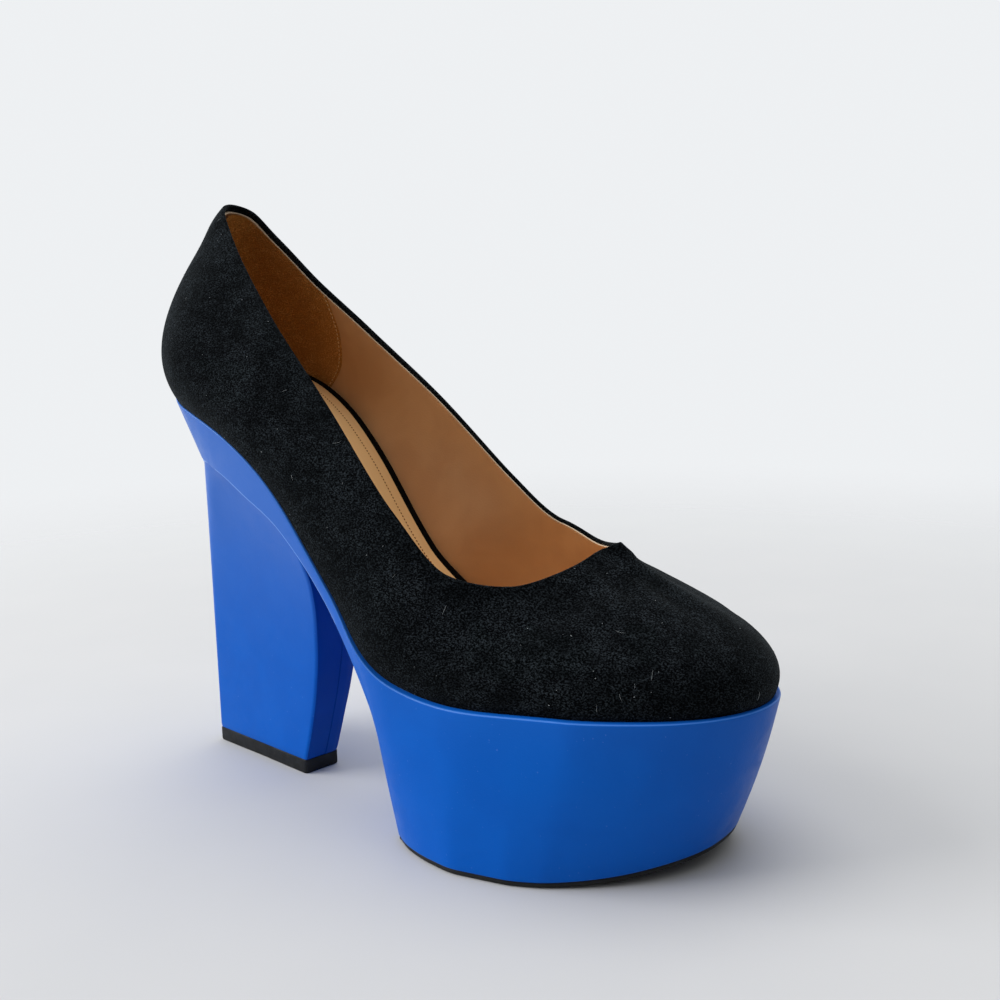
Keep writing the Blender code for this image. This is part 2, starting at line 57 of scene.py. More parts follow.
# The last.
BOTTOM_LENGTH = 244.0
BALL_WIDTH = 82.0
SEAT_HEIGHT = 132.5
SEAT_REAR_Y = 127.5
SEAT_RUN_ON = 5.0
PLAN_STEP = 0.004            # step of t over which the outline's direction is read

# t | slope of the bottom below level
BOTTOM_ROWS = (
    (0.00, 12.0), (0.12, 19.0), (0.25, 36.0), (0.38, 52.0), (0.50, 49.5), (0.62, 12.5),
    (0.74, -1.5), (0.87, -0.5), (1.00, -1.0),
)

# t | outer half width | inner half width, as shares of half the ball width
OUTLINE_ROWS = (
    (0.000, 0.00, 0.00), (0.012, 0.27, 0.25), (0.040, 0.50, 0.46), (0.090, 0.66, 0.61),
    (0.160, 0.73, 0.66), (0.300, 0.78, 0.60), (0.450, 0.80, 0.56), (0.600, 0.98, 0.80),
    (0.720, 1.09, 0.97), (0.820, 1.01, 0.92), (0.900, 0.80, 0.74), (0.955, 0.56, 0.51),
    (0.985, 0.33, 0.29), (1.000, 0.00, 0.00),
)

# t | sideways swing of the centre line, inward positive
SWING_ROWS = (
    (0.00, 3.0), (0.25, 0.0), (0.50, -2.0), (0.80, 6.0), (1.00, 4.5),
)

# The upper.
NOTCH_DEPTH = 3.5            # the small V at the throat
NOTCH_HALF_WIDTH = 3.2
NOTCH_RISE = 0.9
THROAT_SHARE = 0.85

# share of one side of the topline, collar back to throat | y | z | outer half width | inner half width |
# rise of the inner side over the outer one
TOPLINE_ROWS = (
    (0.00, 107.0, 195.5, 0.0, 0.0, 0.0),
    (0.03, 105.0, 194.0, 5.3, 6.5, -0.2),
    (0.08, 96.5, 185.5, 12.3, 12.0, -1.2),
    (0.16, 82.5, 171.0, 18.3, 18.0, -2.4),
    (0.28, 65.0, 154.0, 23.7, 24.8, -2.2),
    (0.45, 38.0, 127.5, 28.8, 31.2, -0.2),
    (0.62, 12.5, 99.9, 33.1, 34.6, 2.1),
    (0.74, -5.0, 83.4, 34.6, 34.2, 4.8),
    (0.84, -20.0, 80.0, 28.2, 28.0, 3.2),
    (0.93, -32.0, 84.2, 14.4, 15.0, 1.2),
    (1.00, -35.5, 87.5, 0.0, 0.0, 0.0),
)

# t | matching share of the topline | flare of the wall at the feather edge |
# lean of the wall at the topline | lengths of the two handles, shares of the wall's height
WALL_ROWS = (
    (0.00, 0.00, 41.0, 30.0, 0.42, 0.20),
    (0.06, 0.07, 40.0, 28.0, 0.42, 0.20),
    (0.16, 0.22, 31.0, 18.0, 0.38, 0.34),
    (0.30, 0.46, 22.0, 9.0, 0.36, 0.33),
    (0.45, 0.63, 22.0, 12.0, 0.36, 0.33),
    (0.58, 0.74, 24.0, 24.0, 0.36, 0.36),
    (0.72, 0.84, 20.0, 37.0, 0.37, 0.38),
    (0.86, 0.92, 21.0, 41.0, 0.36, 0.32),
    (1.00, 1.00, 27.0, 48.0, 0.34, 0.30),
)

EDGE_RADIUS = 0.75           # half the thickness of the folded topline
FOLD_DEPTH = 5.0             # how far the suede goes down inside
TUCK = 2.2                   # how far the suede goes in under the last
LINING_DEPTH = 1.95          # its face, measured in from the upper's outer face
LINING_THICKNESS = 0.85

# share of the topline, collar back to throat | depth of the lining's cut edge below it
LINING_DROP_ROWS = (
    (0.00, 2.2), (0.25, 1.8), (0.55, 1.1), (0.80, 0.9), (1.00, 0.9),
)

# Soft forms of the suede: height, raised or pressed | width | places as t, side, share of the wall's height
SOFT_FORMS = (
    ("padded roll behind the collar", 1.3, 7.5, ((0.030, -1, 0.90), (0.0, 1, 0.92), (0.012, 1, 0.92))),
    ("pinch forward of the throat", 1.1, 2.3, ((1.0, 1, 0.995), (1.0, 1, 0.93), (0.996, -1, 0.84))),
    ("its lower run", 0.45, 3.6, ((0.996, -1, 0.84), (0.990, -1, 0.72), (0.985, -1, 0.60))),
    ("hollow outside it", -0.55, 3.2, ((0.955, -1, 0.95), (0.966, -1, 0.86), (0.972, -1, 0.74))),
    ("hollow inside it", -0.55, 3.2, ((0.955, 1, 0.95), (0.966, 1, 0.86), (0.972, 1, 0.74))),
    ("flex trough", -0.45, 3.4, ((0.74, -1, 0.62), (0.80, -1, 0.66), (0.86, -1, 0.72), (0.91, -1, 0.80))),
    ("flex swell", 0.35, 4.2, ((0.76, -1, 0.46), (0.82, -1, 0.52), (0.88, -1, 0.58), (0.93, -1, 0.66))),
    ("flex trough", -0.45, 3.4, ((0.72, 1, 0.60), (0.79, 1, 0.66), (0.86, 1, 0.74), (0.92, 1, 0.82))),
    ("flex swell", 0.35, 4.2, ((0.76, 1, 0.44), (0.83, 1, 0.52), (0.90, 1, 0.60))),
    ("second crease", -0.3, 2.4, ((0.86, -1, 0.50), (0.90, -1, 0.56), (0.94, -1, 0.64))),
    ("waist hollow", -0.5, 10.0, ((0.40, -1, 0.45), (0.52, -1, 0.52))),
    ("waist hollow", -0.6, 11.0, ((0.36, 1, 0.42), (0.50, 1, 0.50))),
    ("end of the counter", 0.3, 5.0, ((0.20, -1, 0.10), (0.22, -1, 0.45), (0.19, -1, 0.80))),
    ("end of the counter", 0.3, 5.0, ((0.22, 1, 0.10), (0.24, 1, 0.45), (0.21, 1, 0.80))),
    ("sag behind the counter", -0.25, 4.0, ((0.25, -1, 0.15), (0.27, -1, 0.50), (0.25, -1, 0.85))),
    ("toe box edge", -0.22, 3.0, ((0.90, -1, 0.20), (0.93, -1, 0.36), (0.975, -1, 0.44))),
    ("toe box edge", -0.22, 3.0, ((0.90, 1, 0.20), (0.94, 1, 0.36), (0.985, 1, 0.44))),
)

# t | soft padding of the sock above its board
SOCK_PAD_ROWS = (
    (0.00, 1.2), (0.10, 2.2), (0.18, 2.2), (0.26, 1.3), (0.34, 0.6), (0.50, 0.9), (0.62, 0.4),
    (0.75, 0.0), (1.00, 0.0),
)

# t | thickness of the sock with its board and heel padding
INSOLE_ROWS = (
    (0.00, 8.0), (0.12, 7.5), (0.20, 5.5), (0.30, 3.4), (0.38, 2.4), (0.46, 2.0), (1.00, 2.0),
)
INSOLE_START = 0.012
INSOLE_END = 0.990
SOCK_CLEAR = 0.35            # between the sock's rim and the lining
SOCK_DROP = 0.15             # its face below its edge
SOCK_HOLLOW = 0.3            # how much lower it lies along its middle
HEEL_DISH = 1.0              # the same, added under the heel, and the share of the length where that ends
HEEL_DISH_END = 0.35
RIM_WIDTH = 3.3              # black rim of the sock
RIM_OVERLAP = 0.4            # how far the sock's face goes in under it
STITCH_INSET = 7.6           # the sock's stitch line, in from its edge
STITCH_PITCH = 1.25

# share of the wall's height | t of the heel grip's front edge
GRIP_ROWS = (
    (0.00, 0.135), (0.25, 0.150), (0.50, 0.158), (0.75, 0.153), (1.00, 0.134),
)

# Platform, band and shank.
OUTSOLE = 1.4
PLATFORM_REAR_Y = 18.0
PLATFORM_TOE_Y = -75.0
TOE_SPRING = 5.5
SPRING_START = 0.52
SHANK_END = 0.49
REAR_FACE_END = 0.56
REAR_BOW = 4.0
BOW_END = 0.40
BOW_SQUARENESS = 3
REAR_FACE_BEND = 1.7
TOP_ROUND = 0.8              # rounding of the platform's top edge and of its lower edge
LOW_ROUND = 0.6
ROUND_STEPS = 6
EDGE_HIGHLIGHT_ROWS = (2, 3, 4)      # rows of faces, from the top down, where the cover is painted paler as a highlight on its rounded top edge
SEAM_ROWS = (-7, -6)         # rows, counted from the lower end, where the band's edge catches the light

# t | ledge of the platform's top edge beyond the upper
LEDGE_ROWS = (
    (0.00, 0.6), (0.30, 0.8), (0.50, 1.4), (0.62, 2.4), (0.80, 2.4), (0.92, 2.3), (1.00, 1.8),
)

# t | thickness under the foot | pull forward of the lower edge | inset of its sides
BAND_ROWS = (
    (0.00, 22.0, 14.5, 5.0),
    (0.04, 21.5, 11.5, 5.5),
    (0.09, 18.6, 8.0, 5.0),
    (0.16, 16.2, 4.0, 4.0),
    (0.25, 13.3, 1.5, 3.0),
    (0.35, 7.4, 0.5, 2.0),
    (0.42, 4.9, 0.2, 1.7),
    (0.49, 4.2, 0.0, 1.5),
)

# share of the sole's length, rear to toe | half width | x of its middle
SOLE_ROWS = (
    (0.00, 28.4, -7.4), (0.08, 34.2, -5.9), (0.205, 38.8, -4.8), (0.32, 41.0, -3.9),
    (0.47, 41.0, -2.2), (0.575, 39.4, -0.8), (0.68, 35.9, 0.9), (0.785, 30.7, 2.5),
    (0.87, 24.7, 3.9), (0.935, 18.3, 4.9), (0.98, 11.1, 5.5), (1.00, 0.0, 6.2),
)

# The heel.
LIFT = 5.0

# corner | x, y on the floor | x, y under the band | corner rounding on the floor | under the band
HEEL_CORNERS = (
    ("rear outer", -3.1, 123.5, -19.0, 113.8, 1.5, 17.0),
    ("front outer", -12.3, 72.2, -26.5, 61.5, 1.5, 2.5),
    ("front inner", 1.0, 69.0, 21.0, 60.5, 1.5, 2.5),
    ("rear inner", 15.5, 120.5, 21.5, 113.0, 1.5, 20.0),
)

# share of the heel's height | how far the plan has gone from the floor's corners to the band's |
# push forward of the breast
HEEL_ROWS = (
    (0.00, 0.00, 0.0), (0.15, 0.02, 3.6), (0.30, 0.07, 6.2), (0.48, 0.15, 7.8), (0.61, 0.23, 8.0),
    (0.74, 0.36, 6.9), (0.88, 0.62, 2.6), (0.94, 0.77, 1.2), (1.00, 1.00, 0.0),
)
BREAST_SEAM = 0.62           # share of the breast's width, from the outer corner, where its cover laps
SEAM_STEP = 0.22             # height of the lap, and depth of the groove beside it
SEAM_GROOVE = 0.25
BREAST_SHADE_WRAP = 4              # faces by which the painted shade of the breast goes round each corner
SEAM_START = 0.15            # t where the band's lower edge begins to catch the light
HEEL_LIP = 0.40              # bead where the heel's cover meets the band
HEEL_LENGTH = 110.0          # height from which the places of the rows near the bead are worked out
LIP_DROPS = (3.0, 2.0, 1.4, 1.1, 0.9, 0.7, 0.5, 0.35, 0.2, 0.1, 0.0)   # those rows, below the band
LIP_ROWS = (8, 7, 6, 5)      # rows of faces, counted from the top end, where the bead catches the light

# The view: the photograph's camera.
LOOK_AT = (26.18, 14.71, 96.99)
CAMERA_AZIMUTH = -57.57
CAMERA_ELEVATION = 8.98
CAMERA_ROLL = -1.3
CAMERA_DISTANCE = 367.8
FOCAL_PIXELS = 1100.0
IMAGE_PIXELS = 1000.0
OPTICAL_CENTRE_Y = 492.9
SENSOR = 36.0
FLOOR_HALF = 6.0             # metres


def curve(rows, share, column=1):
    """Value of one column at a share: smooth, and never past its neighbouring rows."""
    xs = [row[0] for row in rows]
    ys = [row[column] for row in rows]
    share = min(max(share, xs[0]), xs[-1])
    i = 0
    while i < len(xs) - 2 and share > xs[i + 1]:
        i += 1

    def secant(k):
        return (ys[k + 1] - ys[k]) / (xs[k + 1] - xs[k])

    def slope(k):
        if k in (0, len(xs) - 1):
            return secant(min(k, len(xs) - 2))
        before, after = secant(k - 1), secant(k)
        if before * after <= 0.0:
            return 0.0
        left, right = xs[k] - xs[k - 1], xs[k + 1] - xs[k]
        return 3.0 * (left + right) / ((2.0 * right + left) / before + (right + 2.0 * left) / after)

    span = xs[i + 1] - xs[i]
    u = (share - xs[i]) / span
    h00 = (1.0 + 2.0 * u) * (1.0 - u) ** 2
    h10 = u * (1.0 - u) ** 2
    h01 = u * u * (3.0 - 2.0 * u)
    h11 = u * u * (u - 1.0)
    return h00 * ys[i] + h10 * span * slope(i) + h01 * ys[i + 1] + h11 * span * slope(i + 1)


def round_curve(rows, share, column):
    """As curve, but on the squares of the values, so that an outline closes in a round end."""
    squares = [(row[0], row[column] ** 2) for row in rows]
    return math.sqrt(max(curve(squares, share), 0.0))


def bottom_line(steps=400):
    """Points y, z of the last's bottom from the seat to the toe tip, stepped along its slope."""
    points = [(SEAT_REAR_Y, SEAT_HEIGHT)]
    step = BOTTOM_LENGTH / steps
    for i in range(steps):
        angle = math.radians(curve(BOTTOM_ROWS, (i + 0.5) / steps))
        y, z = points[-1]
        points.append((y - step * math.cos(angle), z - step * math.sin(angle)))
    return np.array(points)


BOTTOM = bottom_line()


def bottom_point(t):
    """y and z of the last's bottom at a share of its length."""
    place = min(max(t, 0.0), 1.0) * (len(BOTTOM) - 1)
    i = min(int(place), len(BOTTOM) - 2)
    u = place - i
    return BOTTOM[i] * (1.0 - u) + BOTTOM[i + 1] * u


def bottom_height(y):
    """Height of the last's bottom at a place along the shoe; the bottom is level across."""
    if y > SEAT_REAR_Y:
        run = min(y - SEAT_REAR_Y, SEAT_RUN_ON)
        return SEAT_HEIGHT + run * math.tan(math.radians(BOTTOM_ROWS[0][1]))
    return float(np.interp(-y, -BOTTOM[:, 0], BOTTOM[:, 1]))


def half_width(t, side):
    """Half width of the last's outline at a share; side is -1 outer, +1 inner."""
    return round_curve(OUTLINE_ROWS, t, 1 if side < 0 else 2) * BALL_WIDTH / 2.0


def feather(t, side):
    """Point of the feather edge, where the upper meets the bottom."""
    y, z = bottom_point(t)
    return np.array((side * half_width(t, side) + curve(SWING_ROWS, t), y, z))


def side_out(t, side):
    """Outward direction of the outline in plan."""
    if t <= 0.0:
        return np.array((0.0, 1.0, 0.0))
    if t >= 1.0:
        return np.array((0.0, -1.0, 0.0))
    a = feather(max(t - PLAN_STEP, 0.0), side)
    b = feather(min(t + PLAN_STEP, 1.0), side)
    along = b - a
    out = np.array((along[1], -along[0], 0.0)) / math.hypot(along[0], along[1])
    return out if out[0] * side >= 0.0 else -out


def offset_outline(t, side, margin):
    """Point of the outline moved outward in plan by a margin, on the bottom's height there."""
    point = feather(t, side) + side_out(t, side) * margin
    point[2] = bottom_height(point[1])
    return point


def topline(s, side):
    """Point of the topline at a share of one side, collar back to throat."""
    w = round_curve(TOPLINE_ROWS, s, 3 if side < 0 else 4)
    notch = max(0.0, 1.0 - w / NOTCH_HALF_WIDTH) if s > 0.5 else 0.0
    rise = curve(TOPLINE_ROWS, s, 5) if side > 0 else 0.0
    return np.array((
        side * w + curve(SWING_ROWS, s * THROAT_SHARE),
        curve(TOPLINE_ROWS, s, 1) - NOTCH_DEPTH * notch,
        curve(TOPLINE_ROWS, s, 2) + rise + NOTCH_RISE * notch,
    ))


def wall_column(t, side):
    """The four control points of the upper's outer face over one place of the feather edge."""
    foot = feather(t, side)
    head = topline(curve(WALL_ROWS, t, 1), side)
    flare = math.radians(curve(WALL_ROWS, t, 2))
    lean = math.radians(curve(WALL_ROWS, t, 3))
    slope = math.radians(curve(BOTTOM_ROWS, t))
    up = np.array((0.0, -math.sin(slope), math.cos(slope)))
    out = side_out(t, side)
    height = np.linalg.norm(head - foot)
    low = foot + curve(WALL_ROWS, t, 4) * height * (math.cos(flare) * up + math.sin(flare) * out)
    high = head + curve(WALL_ROWS, t, 5) * height * (math.sin(lean) * out - math.cos(lean) * up)
    return np.array((foot, low, high, head))


def bezier(control, shares):
    """Points of a cubic curve at shares."""
    v = np.asarray(shares, float)[:, None]
    w = 1.0 - v
    return w ** 3 * control[0] + 3 * w * w * v * control[1] + 3 * w * v * v * control[2] + v ** 3 * control[3]


def loop_places(count, crowding=0.93):
    """Share and side round the shoe: seat, outer side, toe, inner side, and back to the seat."""
    shares = []
    for i in range(count + 1):
        plain = i / count
        crowded = 0.5 - 0.5 * math.cos(math.pi * plain)
        shares.append(plain + crowding * (crowded - plain))
    return [(t, -1) for t in shares] + [(t, 1) for t in reversed(shares[1:-1])]


def unit(vectors):
    """The same directions, one long, along the last axis."""
    return vectors / np.maximum(np.linalg.norm(vectors, axis=-1, keepdims=True), TINY)


def grid_normals(grid, closed=True):
    """Outward unit normals of a grid of points, columns round the shoe by rows upward."""
    if closed:
        along = np.roll(grid, -1, axis=0) - np.roll(grid, 1, axis=0)
    else:
        along = np.gradient(grid, axis=0)
    return unit(np.cross(along, np.gradient(grid, axis=1)))


def plan_normals(loop):
    """Outward unit directions, in plan, of a closed loop of points."""
    along = np.roll(loop, -1, axis=0) - np.roll(loop, 1, axis=0)
    out = np.zeros_like(loop)
    out[:, 0], out[:, 1] = along[:, 1], -along[:, 0]
    out = unit(out)
    return -out if np.sum(out * (loop - loop.mean(axis=0))) < 0.0 else out


def distance_to_line(points, line):
    """Distance of each point from a line through a few places."""
    best = np.full(points.shape[:-1], np.inf)
    for a, b in zip(line, line[1:]):
        run = b - a
        u = np.clip(((points - a) @ run) / (run @ run), 0.0, 1.0)
        best = np.minimum(best, np.linalg.norm(points - a - u[..., None] * run, axis=-1))
    return best


def soft_relief(points, parts=4):
    """Height of the creases, swells and hollows over the plain form."""
    relief = np.zeros(points.shape[:-1])
    for _, height, width, places in SOFT_FORMS:
        line = [bezier(wall_column(t, side), [v])[0] for t, side, v in places]
        dense = [a + (b - a) * k / parts for a, b in zip(line, line[1:]) for k in range(parts)]
        dense.append(line[-1])
        relief += height * np.exp(-(distance_to_line(points, dense) / width) ** 2)
    return relief


# Pieces and meshes.

def rounded_plan(corners, side_shares, per_corner):
    """Closed plan loop through four rounded corners, with its own stations along each side."""
    places = [np.array(corner[:2]) for corner in corners]
    points = []
    for i, here in enumerate(places):
        after = (i + 1) % len(corners)
        back, ahead = places[i - 1] - here, places[after] - here
        start = here + back * corners[i][2] / math.hypot(*back)
        end = here + ahead * corners[i][2] / math.hypot(*ahead)
        for k in range(per_corner + 1):
            u = k / per_corner
            w = 1.0 - u
            points.append(w * w * start + 2 * w * u * here + u * u * end)
        far = places[after] - ahead * corners[after][2] / math.hypot(*ahead)
        points += [end + (far - end) * u for u in side_shares[i]]
    return np.array(points)


def heel_plan(step, forward, side_shares, per_corner):
    """Plan of the heel between the floor's corners (step 0) and the band's (step 1)."""
    corners = []
    for name, x0, y0, x1, y1, r0, r1 in HEEL_CORNERS:
        push = forward if name.startswith("front") else 0.0
        corners.append((x0 + (x1 - x0) * step, y0 + (y1 - y0) * step - push, r0 + (r1 - r0) * step))
    return rounded_plan(corners, side_shares, per_corner)


PLAIN_SHARES = tuple(tuple(k / 20.0 for k in range(1, 20)) for _ in range(4))


def frame_shift():
    """Where the last's frame lies in the model's: read from the wearing block's own plan."""
    low = heel_plan(0.0, 0.0, ((), (), (), ()), 3).min(axis=0)
    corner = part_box("heel_top_lift")[0]
    return np.array((corner.x / MM - low[0], corner.y / MM - low[1], 0.0))


SHIFT = frame_shift()


def make_piece(name, verts, faces, materials, stands_for=(), face_slots=None, merge=0.0, sharp=None):
    """A piece of the shoe from points in the last's frame, riding on the one body."""
    mesh = bpy.data.meshes.new(name)
    mesh.from_pydata(((np.asarray(verts, float) + SHIFT) * MM).tolist(), [], faces)
    for material in materials:
        mesh.materials.append(material)
    if face_slots is not None:
        mesh.polygons.foreach_set("material_index", face_slots)
    mesh.polygons.foreach_set("use_smooth", [True] * len(mesh.polygons))
    mesh.update()
    work = bmesh.new()
    work.from_mesh(mesh)
    if merge:
        bmesh.ops.remove_doubles(work, verts=work.verts, dist=merge * MM)
    bmesh.ops.recalc_face_normals(work, faces=work.faces)
    work.to_mesh(mesh)
    work.free()
    if sharp is not None:
        mesh.set_sharp_from_angle(angle=math.radians(sharp))
    piece = bpy.data.objects.new(name, mesh)
    bpy.context.scene.collection.objects.link(piece)
    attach(piece, "root")
    for node in stands_for:
        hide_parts(node)


def sheet_faces(columns, rows, closed, start=0):
    """Quads of a grid whose points run row by row inside each column."""
    faces = []
    for i in range(columns if closed else columns - 1):
        a, b = start + i * rows, start + ((i + 1) % columns) * rows
        faces += [(a + j, b + j, b + j + 1, a + j + 1) for j in range(rows - 1)]
    return faces


def tubes(paths, radius, sides=5):
    """Vertices and faces of short closed threads along paths."""
    verts, faces = [], []
    for path, thick in zip(paths, radius):
        path = np.asarray(path, float)
        start = len(verts)
        for k, (point, run) in enumerate(zip(path, unit(np.gradient(path, axis=0)))):
            a = unit(np.cross(run, (0.3, 0.2, 0.93)))
            b = np.cross(run, a)
            slim = thick * (0.45 if k in (0, len(path) - 1) else 1.0)
            for n in range(sides):
                angle = 2.0 * math.pi * n / sides
                verts.append(point + slim * (math.cos(angle) * a + math.sin(angle) * b))
        for k in range(len(path) - 1):
            for n in range(sides):
                m = (n + 1) % sides
                low, high = start + k * sides, start + (k + 1) * sides
                faces.append((low + n, low + m, high + m, high + n))
        faces.append(tuple(start + n for n in reversed(range(sides))))
        faces.append(tuple(start + (len(path) - 1) * sides + n for n in range(sides)))
    return verts, faces


def evenly(line, pitch):
    """Points of a line at an even pitch, with the line's direction at each."""
    line = np.asarray(line, float)
    steps = np.linalg.norm(np.diff(line, axis=0), axis=1)
    length = np.concatenate(([0.0], np.cumsum(steps)))
    places = np.arange(pitch / 2.0, length[-1], pitch)

    def at(shift):
        return np.stack([np.interp(places + shift, length, line[:, k]) for k in range(3)], axis=1)

    return at(0.0), unit(at(0.3) - at(-0.3))


def sew(name, lines, pitch, half, radius, thread):
    """Short stitches of a half length along each line."""
    paths = []
    for line in lines:
        points, run = evenly(line, pitch)
        paths += [[p - d * half, p, p + d * half] for p, d in zip(points, run)]
    verts, faces = tubes(paths, [radius] * len(paths))
    make_piece(name, verts, faces, [thread])


# Materials.

MIX_A, MIX_B, MIX_RESULT = 6, 7, 2     # the Mix node's sockets for colours


def add_node(tree, kind, inputs=None, **settings):
    """A node with its settings; each input takes a value or another node's output."""
    made = tree.nodes.new(kind)
    for key, value in settings.items():
        setattr(made, key, value)
    for key, source in (inputs or {}).items():
        if isinstance(source, bpy.types.NodeSocket):
            tree.links.new(source, made.inputs[key])
        else:
            made.inputs[key].default_value = source
    return made


class Paint:
    """A Principled material, with short calls for the nodes that feed it."""

    def __init__(self, name, **values):
        self.material = bpy.data.materials.new(name)
        self.material.use_nodes = True
        self.tree = self.material.node_tree
        self.shader = self.tree.nodes["Principled BSDF"]
        self.place = self.node("ShaderNodeTexCoord").outputs["Object"]
        for key, value in values.items():
            self.shader.inputs[key.replace("_", " ")].default_value = value

    def node(self, kind, inputs=None, **settings):
        return add_node(self.tree, kind, inputs, **settings)

    def noise(self, size, detail=2.0, roughness=0.5, distortion=0.0, stretch=(1.0, 1.0, 1.0)):
        """Noise whose blots are about a size in millimetres, longer where stretch is small."""
        mapping = self.node("ShaderNodeMapping", {"Vector": self.place, "Scale": stretch})
        inputs = {"Vector": mapping.outputs["Vector"], "Scale": 1.0 / (size * MM), "Detail": detail,
                  "Roughness": roughness, "Distortion": distortion}
        return self.node("ShaderNodeTexNoise", inputs).outputs["Fac"]

    def cells(self, size):
        inputs = {"Vector": self.place, "Scale": 1.0 / (size * MM)}
        return self.node("ShaderNodeTexVoronoi", inputs).outputs["Distance"]

    def spread(self, value, low, high, to_low=0.0, to_high=1.0):
        inputs = {"Value": value, "From Min": low, "From Max": high, "To Min": to_low, "To Max": to_high}
        return self.node("ShaderNodeMapRange", inputs, interpolation_type='SMOOTHSTEP').outputs["Result"]

    def sum(self, a, b, kind='ADD'):
        return self.node("ShaderNodeMath", {0: a, 1: b}, operation=kind).outputs[0]

    def mix(self, share, a, b):
        a, b = ((*colour, 1.0) if isinstance(colour, tuple) else colour for colour in (a, b))
        made = self.node("ShaderNodeMix", {0: share, MIX_A: a, MIX_B: b}, data_type='RGBA')
        return made.outputs[MIX_RESULT]

    def bump(self, height, depth, strength, under=None):
        """Relief of a depth in millimetres."""
        inputs = {"Height": height, "Distance": depth * MM, "Strength": strength}
        if under is not None:
            inputs["Normal"] = under
        return self.node("ShaderNodeBump", inputs).outputs["Normal"]

    def feed(self, socket, source):
        self.tree.links.new(source, self.shader.inputs[socket])


def suede(name, dark, light, sheen_tint, sheen=0.05):
    """Napped leather: brushed patches, a dense fine grain of fibre tips and a faint edge sheen."""
    paint = Paint(name, Roughness=1.0, Specular_IOR_Level=0.02, Sheen_Weight=sheen, Sheen_Roughness=0.36,
                  Sheen_Tint=(*sheen_tint, 1.0))
    brushed = paint.spread(paint.noise(13.0, 3.0, 0.6, 0.8), 0.38, 0.66, 0.0, 0.5)
    streaks = paint.spread(paint.noise(3.2, 3.0, 0.65, 0.4, (1.0, 0.5, 1.2)), 0.36, 0.68, 0.0, 0.5)
    grain = paint.noise(0.46, 2.0, 0.65, 0.0, (1.0, 0.75, 1.15))
    tips = paint.spread(grain, 0.42, 0.70)
    shade = paint.sum(tips, paint.sum(paint.sum(brushed, streaks), 0.35), 'MULTIPLY')
    paint.feed("Base Color", paint.mix(shade, dark, light))
    coarse = paint.bump(streaks, 0.12, 0.5)
    paint.feed("Normal", paint.bump(grain, 0.30, 0.9, coarse))
    return paint.material


def smooth_leather(name, colour, deep, roughness, grain, specular, specks=None, mottling=0.5, high=None):
    """Finished leather: soft mottling, fine pores, faint scuffs, uneven gloss, and where given a painted
    sheen that turns it paler high up.
    """
    paint = Paint(name, Specular_IOR_Level=specular)
    clouds = paint.spread(paint.noise(22.0, 3.0, 0.5, 0.5), 0.35, 0.68, 0.0, mottling)
    base = paint.mix(clouds, colour, deep)
    # Painted sheen: the colour turns paler with height, for the brighter reflection high on the heel.
    if high is not None:
        height = paint.node("ShaderNodeSeparateXYZ", {0: paint.place}).outputs["Z"]
        base = paint.mix(paint.spread(height, 0.030, 0.125), base, high)
    if specks is not None:
        dust = paint.spread(paint.noise(0.8, 1.0, 0.5), 0.765, 0.80)
        base = paint.mix(dust, base, specks)
    paint.feed("Base Color", base)
    rubbed = paint.noise(7.0, 4.0, 0.6, 0.6)
    paint.feed("Roughness", paint.spread(rubbed, 0.3, 0.7, roughness - 0.06, roughness + 0.07))
    waves = paint.bump(paint.noise(6.0), 0.12, 0.35)
    paint.feed("Normal", paint.bump(paint.cells(0.55), grain, 0.6, waves))
    return paint.material


def plain_rubber(name, colour, roughness):
    """Black wearing rubber with fine stipple and a little dust."""
    paint = Paint(name, Specular_IOR_Level=0.30)
    dust = paint.spread(paint.noise(3.0, 4.0, 0.65, 0.5), 0.50, 0.80, 0.0, 0.16)
    paint.feed("Base Color", paint.mix(dust, colour, (0.09, 0.088, 0.082)))
    paint.feed("Roughness", paint.spread(paint.noise(5.0, 3.0), 0.3, 0.7, roughness - 0.08, roughness + 0.1))
    paint.feed("Normal", paint.bump(paint.noise(0.4, 2.0), 0.05, 0.6))
    return paint.material


SUEDE = suede("black_suede", (0.0006, 0.0009, 0.0012), (0.027, 0.034, 0.040), (0.55, 0.62, 0.66), 0.13)
RIM_BLACK = suede("black_rim", (0.0025, 0.0022, 0.002), (0.012, 0.011, 0.010), (0.4, 0.4, 0.4), 0.02)
# The blue's last colour is a painted sheen: the leather turns paler with height.
BLUE = smooth_leather("blue_leather", (0.0, 0.120, 0.590), (0.0, 0.102, 0.530), 0.38, 0.03, 0.10,
                      (0.05, 0.18, 0.64), 0.5, (0.052, 0.170, 0.600))
# Darker blue for the heel's breast: painted shade, where the breast faces away from the light.
BLUE_BREAST_SHADE = smooth_leather("blue_leather_breast_shade", (0.0, 0.062, 0.340), (0.0, 0.050, 0.290), 0.38, 0.03, 0.08)
# Pale blue where the band's lower edge and the heel's bead catch the light: a painted highlight.
SEAM_HIGHLIGHT = smooth_leather("blue_leather_seam_highlight", (0.17, 0.37, 0.86), (0.11, 0.29, 0.78), 0.45, 0.03, 0.3)
